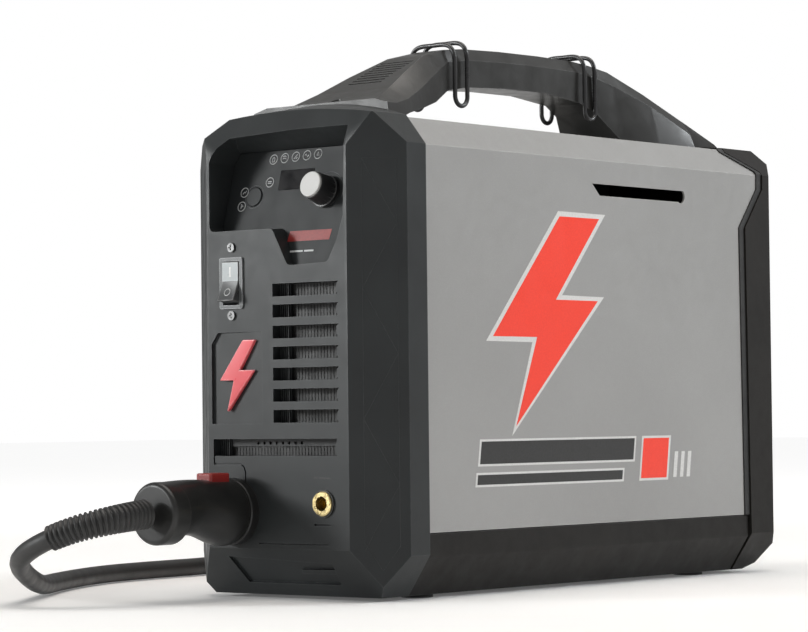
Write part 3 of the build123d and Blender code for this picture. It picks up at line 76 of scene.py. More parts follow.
class Shader:
    """Builds one node material step by step."""

    def __init__(self, name):
        self.material = bpy.data.materials.new(name)
        self.material.use_nodes = True
        self.tree = self.material.node_tree
        self.surface = self.tree.nodes["Principled BSDF"]
        self.place = self.tree.nodes.new("ShaderNodeTexCoord")

    def link(self, source, target):
        self.tree.links.new(source, target)

    def node(self, kind, **values):
        made = self.tree.nodes.new(kind)
        for key, value in values.items():
            setattr(made, key, value)
        return made

    def noise(self, scale, detail, stretch=None):
        made = self.node("ShaderNodeTexNoise")
        made.inputs["Scale"].default_value = scale
        made.inputs["Detail"].default_value = detail
        made.inputs["Roughness"].default_value = 0.55
        source = self.place.outputs["Object"]
        if stretch:
            mapping = self.node("ShaderNodeMapping")
            mapping.inputs["Scale"].default_value = stretch
            self.link(source, mapping.inputs["Vector"])
            source = mapping.outputs["Vector"]
        self.link(source, made.inputs["Vector"])
        return made.outputs["Fac"]

    def spread(self, factor, low, high, start=0.3, end=0.7):
        """Maps a factor from start..end to low..high."""
        made = self.node("ShaderNodeMapRange")
        made.inputs["From Min"].default_value = start
        made.inputs["From Max"].default_value = end
        made.inputs["To Min"].default_value = low
        made.inputs["To Max"].default_value = high
        self.link(factor, made.inputs["Value"])
        return made.outputs["Result"]

    def mix(self, factor, first, second):
        """Colour mix; first and second are colours or sockets."""
        made = self.node("ShaderNodeMix", data_type="RGBA")
        self.link(factor, made.inputs[0])
        for socket, value in ((made.inputs[6], first), (made.inputs[7], second)):
            if isinstance(value, tuple):
                socket.default_value = (*value, 1.0)
            else:
                self.link(value, socket)
        return made.outputs[2]

    def edges(self, width):
        """1 on sharp edges, 0 elsewhere."""
        bevel = self.node("ShaderNodeBevel", samples=4)
        bevel.inputs["Radius"].default_value = width
        geometry = self.node("ShaderNodeNewGeometry")
        dot = self.node("ShaderNodeVectorMath", operation="DOT_PRODUCT")
        self.link(bevel.outputs["Normal"], dot.inputs[0])
        self.link(geometry.outputs["Normal"], dot.inputs[1])
        return self.spread(dot.outputs["Value"], 1.0, 0.0, 0.90, 0.995)

    def bump(self, height, strength, distance, below=None):
        made = self.node("ShaderNodeBump")
        made.inputs["Strength"].default_value = strength
        made.inputs["Distance"].default_value = distance
        self.link(height, made.inputs["Height"])
        if below:
            self.link(below, made.inputs["Normal"])
        return made.outputs["Normal"]

    def set(self, **values):
        for key, value in values.items():
            self.surface.inputs[key.replace("_", " ")].default_value = value

    def into(self, name, socket):
        self.link(socket, self.surface.inputs[name])


def moulded(name, dark, light, rough, grain=1600.0, depth=0.00008, worn=None, gloss=0.5):
    """Moulded plastic or rubber: mottled colour, spark-eroded grain, paler edges."""
    shader = Shader(name)
    colour = shader.mix(shader.spread(shader.noise(22.0, 6.0), 0.0, 1.0), dark, light)
    if worn:
        spots = shader.spread(shader.noise(260.0, 5.0), 0.15, 0.9)
        edge = shader.edges(0.0012)
        both = shader.node("ShaderNodeMath", operation="MULTIPLY")
        shader.link(spots, both.inputs[0])
        shader.link(edge, both.inputs[1])
        colour = shader.mix(both.outputs[0], colour, worn)
    shader.into("Base Color", colour)
    shader.into("Roughness", shader.spread(shader.noise(90.0, 5.0), rough[0], rough[1]))
    fine = shader.bump(shader.noise(grain, 2.0), 0.35, depth)
    shader.into("Normal", shader.bump(shader.noise(60.0, 3.0), 0.12, 0.0004, fine))
    shader.set(Specular_IOR_Level=gloss)
    return shader.material


def metal(name, dark, light, rough, stretch=(1.0, 1.0, 1.0), metallic=1.0):
    """Metal with drawn or turned marks along one direction."""
    shader = Shader(name)
    shader.into("Base Color", shader.mix(shader.spread(shader.noise(35.0, 6.0), 0.0, 1.0), dark, light))
    marks = shader.noise(400.0, 4.0, stretch)
    shader.into("Roughness", shader.spread(marks, rough[0], rough[1]))
    shader.into("Normal", shader.bump(marks, 0.3, 0.00004))
    shader.set(Metallic=metallic)
    return shader.material


def painted(name, dark, light, rough, metallic, worn):
    """Paint on sheet metal: fine flake, faint orange peel, worn edges."""
    shader = Shader(name)
    cloud = shader.spread(shader.noise(5.0, 3.0), 0.0, 1.0)
    colour = shader.mix(cloud, dark, light)
    flake = shader.spread(shader.noise(2600.0, 2.0), 0.0, 0.22, 0.45, 0.75)
    colour = shader.mix(flake, colour, tuple(min(1.0, value * 1.5) for value in light))
    colour = shader.mix(shader.edges(0.0010), colour, worn)
    shader.into("Base Color", colour)
    shader.into("Roughness", shader.spread(shader.noise(150.0, 5.0), rough[0], rough[1]))
    peel = shader.bump(shader.noise(420.0, 2.0), 0.18, 0.00006)
    shader.into("Normal", shader.bump(shader.noise(9.0, 2.0), 0.05, 0.0010, peel))
    shader.set(Metallic=metallic, Coat_Weight=0.12, Coat_Roughness=0.3)
    return shader.material


def printed(name, dark, light):
    """Printed film: dense ink with a faint dot grain and dust."""
    shader = Shader(name)
    ink = shader.spread(shader.noise(900.0, 3.0), 0.0, 1.0)
    shader.into("Base Color", shader.mix(ink, dark, light))
    shader.into("Roughness", shader.spread(shader.noise(70.0, 5.0), 0.32, 0.45))
    shader.into("Normal", shader.bump(shader.noise(1500.0, 2.0), 0.15, 0.00003))
    return shader.material


def glazed(name, dark, light):
    """Glossy window with faint smears."""
    shader = Shader(name)
    shader.into("Base Color", shader.mix(shader.spread(shader.noise(80.0, 3.0), 0.0, 1.0), dark, light))
    smear = shader.noise(120.0, 5.0)
    shader.into("Roughness", shader.spread(smear, 0.10, 0.22))
    shader.into("Normal", shader.bump(smear, 0.02, 0.00005))
    shader.set(Specular_IOR_Level=0.25)
    return shader.material


FINISH = {
    "bezel_grey": moulded("bezel_grey", (0.018, 0.020, 0.021), (0.024, 0.027, 0.028), (0.38, 0.48),
                          worn=(0.06, 0.063, 0.066), gloss=0.32),
    "base_dark": moulded("base_dark", (0.010, 0.009, 0.008), (0.015, 0.0135, 0.012), (0.45, 0.6),
                         worn=(0.03, 0.028, 0.025), gloss=0.2),
    "handle_dark": moulded("handle_dark", (0.020, 0.020, 0.019), (0.030, 0.030, 0.029), (0.30, 0.42),
                           depth=0.00005, worn=(0.08, 0.08, 0.08), gloss=0.42),
    "cover_paint": painted("cover_paint", (0.295, 0.293, 0.288), (0.335, 0.333, 0.328), (0.36, 0.48), 0.25,
                           (0.42, 0.41, 0.395)),
    "seal_rubber": moulded("seal_rubber", (0.014, 0.014, 0.014), (0.022, 0.022, 0.022), (0.6, 0.8)),
    "wire_steel": moulded("wire_coating", (0.015, 0.015, 0.016), (0.03, 0.03, 0.031), (0.24, 0.4),
                          grain=900.0),
    "screw_steel": metal("screw_steel", (0.10, 0.10, 0.10), (0.20, 0.20, 0.20), (0.3, 0.5)),
    "overlay": moulded("overlay", (0.014, 0.016, 0.017), (0.019, 0.021, 0.022), (0.42, 0.54), grain=2600.0,
                       depth=0.00003, gloss=0.3),
    "window": glazed("window", (0.004, 0.004, 0.005), (0.010, 0.009, 0.010)),
    "button_soft": moulded("button_soft", (0.015, 0.017, 0.018), (0.020, 0.022, 0.023), (0.42, 0.55),
                           gloss=0.3),
    "knob_black": moulded("knob_black", (0.012, 0.012, 0.013), (0.02, 0.02, 0.021), (0.35, 0.5),
                          worn=(0.09, 0.09, 0.09)),
    "knob_white": moulded("knob_white", (0.44, 0.44, 0.43), (0.52, 0.52, 0.51), (0.34, 0.46), depth=0.00003),
    "metal_part": metal("metal_part", (0.35, 0.35, 0.35), (0.5, 0.5, 0.5), (0.25, 0.4)),
    "rocker_grey": moulded("rocker_grey", (0.045, 0.047, 0.048), (0.06, 0.062, 0.063), (0.3, 0.42),
                           worn=(0.3, 0.3, 0.3)),
    "frame_grey": moulded("frame_grey", (0.060, 0.066, 0.068), (0.080, 0.086, 0.089), (0.3, 0.42),
                          worn=(0.40, 0.41, 0.42)),
    "emblem_red": moulded("emblem_red", (0.66, 0.055, 0.07), (0.78, 0.085, 0.10), (0.26, 0.4), depth=0.00003,
                          worn=(0.95, 0.55, 0.55)),
    "socket_black": moulded("socket_black", (0.010, 0.010, 0.010), (0.017, 0.017, 0.017), (0.32, 0.46),
                            worn=(0.07, 0.07, 0.07)),
    "brass": metal("brass", (0.74, 0.55, 0.24), (0.90, 0.74, 0.38), (0.2, 0.36)),
    "plated_steel": metal("plated_steel", (0.020, 0.021, 0.022), (0.032, 0.033, 0.034), (0.45, 0.6),
                          metallic=0.2),
    "alu": metal("alu", (0.5, 0.51, 0.52), (0.66, 0.67, 0.68), (0.28, 0.45), (1.0, 1.0, 0.1)),
    "black_case": moulded("black_case", (0.012, 0.012, 0.012), (0.022, 0.022, 0.022), (0.4, 0.6)),
    "board_green": moulded("board_green", (0.01, 0.07, 0.025), (0.015, 0.10, 0.035), (0.25, 0.4)),
    "can_sleeve": moulded("can_sleeve", (0.008, 0.012, 0.05), (0.012, 0.02, 0.08), (0.2, 0.35)),
    "ferrite": moulded("ferrite", (0.03, 0.03, 0.03), (0.05, 0.05, 0.05), (0.5, 0.7)),
    "copper_wire": metal("copper_wire", (0.35, 0.10, 0.03), (0.50, 0.18, 0.06), (0.2, 0.35)),
    "bowl_clear": glazed("bowl_clear", (0.35, 0.38, 0.40), (0.42, 0.45, 0.47)),
    "hose_blue": moulded("hose_blue", (0.01, 0.03, 0.12), (0.015, 0.05, 0.16), (0.35, 0.5)),
    "lead_rubber": moulded("lead_rubber", (0.016, 0.016, 0.016), (0.026, 0.026, 0.026), (0.40, 0.55),
                           grain=1100.0),
    "button_red": moulded("button_red", (0.24, 0.016, 0.014), (0.34, 0.028, 0.024), (0.34, 0.48),
                          worn=(0.55, 0.16, 0.14)),
    "torch_black": moulded("torch_black", (0.010, 0.010, 0.010), (0.018, 0.018, 0.017), (0.30, 0.46),
                           worn=(0.075, 0.075, 0.07)),
    "trigger_red": moulded("trigger_red", (0.45, 0.012, 0.012), (0.58, 0.02, 0.02), (0.3, 0.45),
                           worn=(0.8, 0.3, 0.3)),
    "safety_yellow": moulded("safety_yellow", (0.62, 0.33, 0.02), (0.75, 0.42, 0.03), (0.3, 0.45),
                             worn=(0.9, 0.7, 0.4)),
    "copper_tip": metal("copper_tip", (0.50, 0.22, 0.10), (0.66, 0.33, 0.17), (0.22, 0.4)),
}
INK_RED = printed("ink_red", (0.86, 0.040, 0.018), (0.95, 0.050, 0.020))
INK_WHITE = printed("ink_white", (0.60, 0.60, 0.59), (0.70, 0.70, 0.69))
INK_BLACK = printed("ink_black", (0.014, 0.014, 0.014), (0.026, 0.026, 0.026))
INK_DULL_RED = printed("ink_dull_red", (0.20, 0.012, 0.010), (0.27, 0.018, 0.014))
INK_PALE = printed("ink_pale", (0.42, 0.43, 0.43), (0.56, 0.57, 0.57))
INK_FAINT = printed("ink_faint", (0.09, 0.095, 0.10), (0.12, 0.125, 0.13))

slots = {entry["node"]: entry["material_slot"] for entry in frame["record"]["subparts"]}


# ---- pieces --------------------------------------------------------------------------------------

def piece(name, mesh, body, slot, finish=None):
    """Links a mesh or curve as an object, gives it a material and lets it ride on a body."""
    made = bpy.data.objects.new(name, mesh)
    bpy.context.scene.collection.objects.link(made)
    mesh.materials.append(finish or FINISH[slot])
    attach(made, body)
    return made


def mesh_of(name, build):
    """Runs build on a fresh bmesh and returns the mesh."""
    grid = bmesh.new()
    build(grid)
    bmesh.ops.recalc_face_normals(grid, faces=grid.faces)
    mesh = bpy.data.meshes.new(name)
    grid.to_mesh(mesh)
    grid.free()
    return mesh


PLATE_SUNK = 0.05         # mm that a plate reaches into the surface it lies on


def plate(name, outlines, place, thick, body, slot, finish=None):
    """Flat plates: outlines in mm lie in place's x-y plane and rise by thick mm along its z."""
    def build(grid):
        for outline in outlines:
            low = [grid.verts.new(place @ Vector((x * MM, y * MM, -PLATE_SUNK * MM))) for x, y in outline]
            high = [grid.verts.new(place @ Vector((x * MM, y * MM, thick * MM))) for x, y in outline]
            grid.faces.new(low[::-1])
            grid.faces.new(high)
            for i in range(len(outline)):
                j = (i + 1) % len(outline)
                grid.faces.new((low[i], low[j], high[j], high[i]))
    piece(name, mesh_of(name, build), body, slot, finish)


def wires(name, lines, place, radius, body, slot, finish=None):
    """Thin raised lines: lists of points in mm in place's x-y plane, closed if they end where they start."""
    curve = bpy.data.curves.new(name, "CURVE")
    curve.dimensions = "3D"
    curve.bevel_depth = radius * MM
    curve.bevel_resolution = 2
    for line in lines:
        closed = line[0] == line[-1]
        points = line[:-1] if closed else line
        spline = curve.splines.new("POLY")
        spline.points.add(len(points) - 1)
        for point, (x, y) in zip(spline.points, points):
            point.co = (*(place @ Vector((x * MM, y * MM, 0.0))), 1.0)
        spline.use_cyclic_u = closed
    piece(name, curve, body, slot, finish)


def ring(x, y, radius):
    """A closed circle of short lines."""
    steps = 28
    points = [
        (x + radius * cos(2 * pi * i / steps), y + radius * sin(2 * pi * i / steps)) for i in range(steps)
    ]
    return points + [points[0]]


SHARP_ANGLE = 28.0        # degrees; flatter edges are left alone


def soften(thing, width):
    """Rounds the sharp edges of a thing by width metres, as a mould does."""
    weld = thing.modifiers.new("weld", "WELD")
    weld.merge_threshold = 0.00001
    bevel = thing.modifiers.new("bevel", "BEVEL")
    bevel.width = width
    bevel.segments = 2
    bevel.limit_method = "ANGLE"
    bevel.angle_limit = radians(SHARP_ANGLE)
    bevel.harden_normals = False
    flat = thing.modifiers.new("flat", "WEIGHTED_NORMAL")
    flat.mode = "FACE_AREA"
    flat.weight = 100
    flat.keep_sharp = False


FACE_Y = -217.0
PANEL_TOP_Y, PANEL_TOP_Z = -190.0, 282.0    # upper edge of the control panel's floor
PANEL_LEAN = atan2(0.272, 1.0)
STANDING = Matrix(((1, 0, 0, 0), (0, 0, -1, 0), (0, 1, 0, 0), (0, 0, 0, 1)))
front_wall = Matrix.Translation((0.0, FACE_Y * MM, 0.0)) @ STANDING
panel_top = Matrix.Translation((0.0, PANEL_TOP_Y * MM, PANEL_TOP_Z * MM)) @ Matrix((
    (1, 0, 0, 0),
    (0, sin(PANEL_LEAN), -cos(PANEL_LEAN), 0),
    (0, cos(PANEL_LEAN), sin(PANEL_LEAN), 0),
    (0, 0, 0, 1),
))


def on_panel(height):
    """Plane on the sloping control panel, height mm above the recess floor: x across, y up the slope."""
    return panel_top @ Matrix.Translation((0.0, 0.0, height * MM))


def panel_y(z):
    """Distance along the slope of the panel at a height z in mm."""
    return (z - PANEL_TOP_Z) / cos(PANEL_LEAN)


# ---- torch lead ----------------------------------------------------------------------------------

LEAD_D = 12.5
CAP_Y = FACE_Y - 88.0
COIL_X, COIL_Y = -228.0, 118.0
HAND_X, HAND_Y, HAND_Z = -110.0, 40.0, 17.5
TORCH_X = -36.5
RELIEF_ROUTE = (
    (TORCH_X, CAP_Y + 7, 55.2), (TORCH_X, CAP_Y - 9, 54), (-43.7, CAP_Y - 25, 51),
    (-56.8, CAP_Y - 37, 46.5), (-68, CAP_Y - 40.8, 42),
)
LEAD_ROUTE = (
    (-43.7, CAP_Y - 25, 51), (-56.8, CAP_Y - 37, 46.5), (-73.6, CAP_Y - 42.6, 39.7),
    (-91.2, CAP_Y - 41, 32.5), (-106.7, CAP_Y - 32, 25.8), (-125.3, CAP_Y - 8, 17), (-158, CAP_Y + 37, 7),
    (-187, CAP_Y + 76, 6.5), (-214, CAP_Y + 122, 6.4), (-236, CAP_Y + 173, 6.5),
    (-246, CAP_Y + 227, 6.4), (-248, CAP_Y + 281, 6.5), (-264, CAP_Y + 334, 6.4),
    (-288, CAP_Y + 379, 6.5), (-308, COIL_Y - 12, 6.4),
)
TAIL_ROUTE = (
    (COIL_X + 28, COIL_Y + 88.5, 43.2), (COIL_X + 62, COIL_Y + 88.5, 40), (COIL_X + 88, COIL_Y + 78, 34),
    (COIL_X + 107.5, COIL_Y + 58, 27), (HAND_X, COIL_Y + 32.5, 20.5), (HAND_X + 0.3, HAND_Y + 82, HAND_Z),
)


COIL_COLUMNS = (87.5, 75.0, 62.5)
COIL_LAYERS = 4
COIL_TURNS = 11.25


def coil_turns():
    """Turns of the coil: three side by side in four layers, clockwise seen from above."""
    order = []
    for layer in range(COIL_LAYERS):
        side_by_side = COIL_COLUMNS if layer % 2 == 0 else COIL_COLUMNS[::-1]
        order += [(radius, LEAD_D / 2 + LEAD_D * layer) for radius in side_by_side]
    steps = 20
    change = 0.2          # share of a turn over which the lead moves to its next place
    points = []
    for step in range(2, int(COIL_TURNS * steps) + 1):
        turn, share = divmod(step / steps, 1.0)
        here = order[int(turn)]
        following = order[min(int(turn) + 1, len(order) - 1)]
        blend = max(0.0, (share - 1.0 + change) / change)
        blend = blend * blend * (3 - 2 * blend)
        radius = here[0] + (following[0] - here[0]) * blend
        height = here[1] + (following[1] - here[1]) * blend
        angle = pi - 2 * pi * step / steps
        points.append((COIL_X + radius * cos(angle), COIL_Y + radius * sin(angle), height))
    return points


def route_curve(name, route, radius):
    """NURBS curve with the route's points as its control points."""
    curve = bpy.data.curves.new(name, "CURVE")
    curve.dimensions = "3D"
    curve.resolution_u = 12
    curve.bevel_depth = radius * MM
    curve.bevel_resolution = 5
    curve.use_fill_caps = True
    spline = curve.splines.new("NURBS")
    spline.points.add(len(route) - 1)
    for point, place in zip(spline.points, route):
        point.co = (*(value * MM for value in place), 1.0)
    spline.order_u = 3
    spline.use_endpoint_u = True
    return curve


def line_of(route):
    """Points along a route's NURBS spline, in metres."""
    curve = route_curve("guide", route, 0.0)
    holder = bpy.data.objects.new("guide", curve)
    bpy.context.scene.collection.objects.link(holder)
    bpy.context.view_layer.update()
    mesh = bpy.data.meshes.new_from_object(holder)
    points = [vertex.co.copy() for vertex in mesh.vertices]
    bpy.data.objects.remove(holder)
    bpy.data.curves.remove(curve)
    bpy.data.meshes.remove(mesh)
    return points


RING_PITCH = 0.42         # mm between the rings of vertices of the sleeve


def tube_mesh(name, points, radius_at):
    """Closed tube round a line; radius_at gives the radius in metres at a share of the length."""
    sides = 28
    runs = [0.0]
    for first, second in zip(points, points[1:]):
        runs.append(runs[-1] + (second - first).length)
    total = runs[-1]
    count = int(total / (RING_PITCH * MM))

    def build(grid):
        rings = []
        index = 0
        for step in range(count + 1):
            reach = total * step / count
            while index < len(runs) - 2 and runs[index + 1] < reach:
                index += 1
            share = (reach - runs[index]) / (runs[index + 1] - runs[index])
            here = points[index].lerp(points[index + 1], share)
            ahead = (points[min(index + 2, len(points) - 1)] - points[max(index - 1, 0)]).normalized()
            side = ahead.cross(Vector((0, 0, 1))).normalized()
            up = side.cross(ahead)
            radius = radius_at(step / count)
            turns = [2 * pi * i / sides for i in range(sides)]
            rings.append([grid.verts.new(here + (side * cos(a) + up * sin(a)) * radius) for a in turns])
        for first, second in zip(rings, rings[1:]):
            for i in range(sides):
                j = (i + 1) % sides
                grid.faces.new((first[i], first[j], second[j], second[i]))
        grid.faces.new(rings[0])
        grid.faces.new(rings[-1][::-1])
    mesh = mesh_of(name, build)
    for face in mesh.polygons:
        face.use_smooth = True
    return mesh


RIBS = 21
RIB_DEEP = 1.35


def ribbed(share):
    """Radius of the corrugated sleeve, which tapers towards its free end."""
    base = 9.3 - 1.3 * share
    rib = 0.5 + 0.5 * cos(2 * pi * RIBS * share)
    rib = min(1.0, rib * 1.7)
    return (base - RIB_DEEP * (1 - rib)) * MM


lead = piece(
    "torch_lead", route_curve("torch_lead", (*LEAD_ROUTE, *coil_turns(), *TAIL_ROUTE), LEAD_D / 2),
    "torch_lead", "lead_rubber")
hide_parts("torch_lead_front", "torch_lead_coil", "torch_lead_rear")
relief = piece(
    "relief_sleeve", tube_mesh("relief_sleeve", line_of(RELIEF_ROUTE), ribbed), "torch_lead", "lead_rubber")
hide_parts("strain_relief")


# ---- carried-over nodes --------------------------------------------------------------------------

ROUNDED = {
    "front_bezel": 0.9, "rear_bezel": 0.9, "base_pan": 0.8, "cover": 0.5, "handle": 1.2, "emblem": 0.7,
    "plug_body": 0.6, "torch_receptacle": 0.4, "switch_rocker": 0.5, "switch_frame": 0.35,
    "control_panel": 0.25, "adjust_knob": 0.3, "knob_cap": 0.4, "feet": 0.5, "coil_tie": 0.4,
    "torch_trigger": 0.4, "torch_safety": 0.4, "retaining_cap": 0.4, "cord_gland": 0.4,
}
for name, thing in nodes.items():
    thing.data.materials.clear()
    thing.data.materials.append(FINISH[slots[name]])
    if name in ROUNDED:
        soften(thing, ROUNDED[name] * MM)


# ---- side graphic --------------------------------------------------------------------------------

COVER_X = 84.52


def side_plane(side):
    """Plane on one side of the cover: x runs from front to rear, z outwards."""
    x = side * COVER_X * MM
    if side > 0:
        turn = Matrix(((0, 0, 1, 0), (1, 0, 0, 0), (0, 1, 0, 0), (0, 0, 0, 1)))
    else:
        turn = Matrix(((0, 0, -1, 0), (1, 0, 0, 0), (0, 1, 0, 0), (0, 0, 0, 1)))
    return Matrix.Translation((x, 0.0, 0.0)) @ turn


BOLT = ((0.62, 1.0), (0.06, 0.42), (0.42, 0.42), (0.24, 0.0), (0.94, 0.60), (0.58, 0.60), (0.96, 1.0))


def bolt(left, low, wide, high, grow=0.0):
    """Outline of a plain lightning bolt, grown outwards by grow."""
    points = [Vector((left + wide * x, low + high * y)) for x, y in BOLT]
    if not grow:
        return [tuple(point) for point in points]
    out = []
    for before, here, after in zip(points[-1:] + points[:-1], points, points[1:] + points[:1]):
        first = (here - before).normalized()
        second = (after - here).normalized()
        normal = Vector((-first.y - second.y, first.x + second.x)).normalized()
        half = max(0.45, sqrt(max(0.0, (1 + first.dot(second)) / 2)))
        out.append(tuple(here - normal * (grow / half)))
    return out


def slanted(left, low, right, high, slope=0.14):
    """A bar whose ends lean to the rear."""
    lean_over = (high - low) * slope
    return [(left, low), (right, low), (right + lean_over, high), (left + lean_over, high)]


UNDER, OVER = 0.06, 0.14     # thickness in mm of the pale margin and of the print on it
BOLT_BOX = (-114, 106, 129, 136)
SIDE_PRINT = (
    ("side_bolt_edge_", [bolt(*BOLT_BOX, 3.4)], UNDER, INK_WHITE),
    ("side_bolt_", [bolt(*BOLT_BOX)], OVER, INK_RED),
    ("side_bars_edge_", [slanted(-123, 81, 47, 98), slanted(-126, 68, 34, 77)], UNDER, INK_WHITE),
    ("side_bars_", [slanted(-121, 82.4, 45.4, 96.6), slanted(-124, 69.4, 32.4, 75.6)], OVER, INK_BLACK),
    ("side_badge_edge_", [slanted(52, 68, 86, 98)], UNDER, INK_WHITE),
    ("side_badge_", [slanted(54, 69.6, 84, 96.4)], OVER, INK_RED),
    ("side_marks_", [slanted(92 + 8 * i, 69.6, 96 + 8 * i, 87) for i in range(3)], OVER, INK_WHITE),
)
for side, name in ((1, "right"), (-1, "left")):
    for prefix, outlines, thick, ink in SIDE_PRINT:
        plate(prefix + name, outlines, side_plane(side), thick, "housing", "cover_paint", ink)


# ---- corner facets -------------------------------------------------------------------------------

FACET_IN, FACET_OUT, FACET_DEEP = 58.2, 86.5, 24.6
LINE_LEFT, LINE_RIGHT, LINE_TOP = 9.5, 31.0, 271.5
run = Vector((FACET_OUT - FACET_IN, FACET_DEEP, 0.0)).normalized()
for side, name in ((1, "right"), (-1, "left")):
    across = Vector((side * run.x, run.y, 0.0))
    outward = Vector((side * run.y, -run.x, 0.0))
    place = Matrix((across, Vector((0, 0, 1)), outward)).transposed().to_4x4()
    place = Matrix.Translation((side * FACET_IN * MM, FACE_Y * MM, 0.0)) @ place
    frame_line = [
        (LINE_LEFT, LINE_TOP), (LINE_RIGHT, LINE_TOP), (LINE_RIGHT, 34.0), (20.3, 19.0), (LINE_LEFT, 36.0),
        (LINE_LEFT, LINE_TOP),
    ]
    zigzag = [(LINE_LEFT if i % 2 == 0 else LINE_RIGHT, LINE_TOP - 40.0 * i) for i in range(7)]
    wires("facet_lines_" + name, [frame_line, zigzag], place, 0.14, "housing", "bezel_grey")


# ---- behind the vents ----------------------------------------------------------------------------

SLOT_LEFT, SLOT_HIGH = -3.0, 8.0
LONG_LEFT, LONG_LOW, LONG_HIGH = -54.0, 89.3, 99.9
SLOT_TOPS = [196.5 - 13.1 * i for i in range(7)]
MESH_PITCH = 2.6
RIB_PITCH, RIB_WIDE, RIB_AREA = 1.6, 0.8, 8.0
LAP = 0.4                 # mm that the ribs reach past the slots


def upright(depth):
    """Plane behind the front face at a depth in mm: x across, y up, z forwards."""
    return front_wall @ Matrix.Translation((0.0, 0.0, -depth * MM))


def rectangle(left, low, right, high):
    return [(left, low), (right, low), (right, high), (left, high)]


def spaced(start, end):
    return [start + MESH_PITCH * i for i in range(int((end - start - 0.5) / MESH_PITCH) + 1)]


def mesh_over_shade_sheet(name, left, low, right, high):
    """Dark filter mesh: crossed bars over a black plate, a sheet that stands in for the shade inside the
    housing.
    """
    bars = [rectangle(left, z, right, z + 0.5) for z in spaced(low, high)]
    bars += [rectangle(x, low, x + 0.5, high) for x in spaced(left, right)]
    # black back plate: a dark sheet put where there is only shade behind the vents
    plate(name + "_back", [rectangle(left, low, right, high)], upright(11.2), 0.4, "housing", "black_case")
    plate(name, bars, upright(10.8), 0.35, "housing", "black_case")


mesh_over_shade_sheet("louvre_filter", -6.8, 105.2, 54.6, 199.6)
mesh_over_shade_sheet("slot_filter", -57.0, 86.4, 52.0, 102.6)
ribs = []
rib_backs = []
openings = [(SLOT_LEFT, top - SLOT_HIGH, top) for top in SLOT_TOPS] + [(LONG_LEFT, LONG_LOW, LONG_HIGH)]
for left, low, high in openings:
    starts = [left + RIB_PITCH * i for i in range(5)]
    ribs += [rectangle(start, low - LAP, start + RIB_WIDE, high + LAP) for start in starts]
    rib_backs.append(rectangle(left, low - LAP, left + RIB_AREA, high + LAP))
plate("vent_ribs", ribs, upright(9.8), 2.6, "housing", "bezel_grey")
plate("vent_rib_backs", rib_backs, upright(9.8), 1.4, "housing", "bezel_grey")
work_marks = [rectangle(30.0, 75.4, 33.2, 76.6), [(34.0, 75.4), (44.0, 75.0), (44.0, 75.9), (34.0, 76.4)]]
plate("work_mark", work_marks, upright(0.0), 0.05, "housing", "bezel_grey", INK_BLACK)


# ---- marks on the control panel ------------------------------------------------------------------

film = on_panel(1.36)
GLYPHS = (
    [[(-0.9, -1.6), (-0.9, 0.6), (0.0, 1.5), (0.9, 0.6), (0.9, -1.6), (-0.9, -1.6)]],
    [[(-1.6, 0.9), (0.0, 1.5), (1.5, 0.6)], [(-1.5, -0.5), (0.1, 0.1), (1.6, -0.8)]],
    [[(-1.4, -1.4), (1.3, 1.5)], [(0.2, -1.5), (1.5, -0.2)]],
    [[(-1.7, 0.0), (-0.8, 1.1), (0.6, -1.1), (1.6, 0.2)]],
    [[(-0.9, -0.9), (0.9, -0.9), (0.0, 1.3), (-0.9, -0.9)]],
    [[(-1.5, 0.5), (1.5, 0.5)], [(-1.5, -0.6), (1.5, -0.6)]],
    [[(-1.4, -1.0), (-0.3, 0.3), (0.4, -0.4), (1.5, 1.1)]],
    [[(-0.4, -1.5), (-0.4, 1.5), (1.2, 0.2), (-0.4, -0.4)]],
)
PLACES = [(-22.2 + 9.25 * i, 276.2 + 0.35 * i) for i in range(5)]
PLACES += [(-22.1, 261.5), (-42.3, 256.0), (-42.8, 247.0)]
KNOB_X, BUTTON_X, KNOB_Z = 27.5, -33.0, 252.7
KNOB_RING_R, BUTTON_RING_R = 13.2, 7.6
icon_lines = []
for (x, z), glyph in zip(PLACES, GLYPHS):
    y = panel_y(z)
    icon_lines.append(ring(x, y, 3.1))
    icon_lines += [[(x + gx, y + gy) for gx, gy in stroke] for stroke in glyph]
wires("panel_icons", icon_lines, film, 0.26, "housing", "overlay", INK_PALE)
knob_y = panel_y(KNOB_Z)
sweep = [
    (KNOB_X + KNOB_RING_R * cos(radians(a)), knob_y + KNOB_RING_R * sin(radians(a)))
    for a in range(200, -21, -10)
]
wires("button_ring", [ring(BUTTON_X, knob_y, BUTTON_RING_R), sweep], film, 0.12, "housing", "overlay",
      INK_FAINT)
bar_y = (panel_y(222.5), panel_y(229.0))
plate("panel_bar", [slanted(1.5, bar_y[0], 36, bar_y[1])], film, 0.08, "housing", "overlay", INK_DULL_RED)
rule = panel_y(215.6)
dashes = [rectangle(x, rule, x + w, rule + 1.1) for x, w in ((-1.5, 5.5), (5.2, 10.5), (17.0, 7.5))]
plate("panel_rule", dashes, film, 0.06, "housing", "overlay", INK_PALE)


# ---- marks on the rocker -------------------------------------------------------------------------

ROCKER_X, ROCKER_Z, ROCKER_TILT = -37.0, 198.0, radians(12.0)
ROCKER_PIN, ROCKER_THICK, ROCKER_HALF = 1.5, 3.2, 12.6


def rocker_point(forward, up):
    """From rocker coordinates to y and z, as the rocker rests."""
    out = forward * cos(ROCKER_TILT) - up * sin(ROCKER_TILT)
    rise = up * cos(ROCKER_TILT) + forward * sin(ROCKER_TILT)
    return FACE_Y + ROCKER_PIN - out, ROCKER_Z + rise


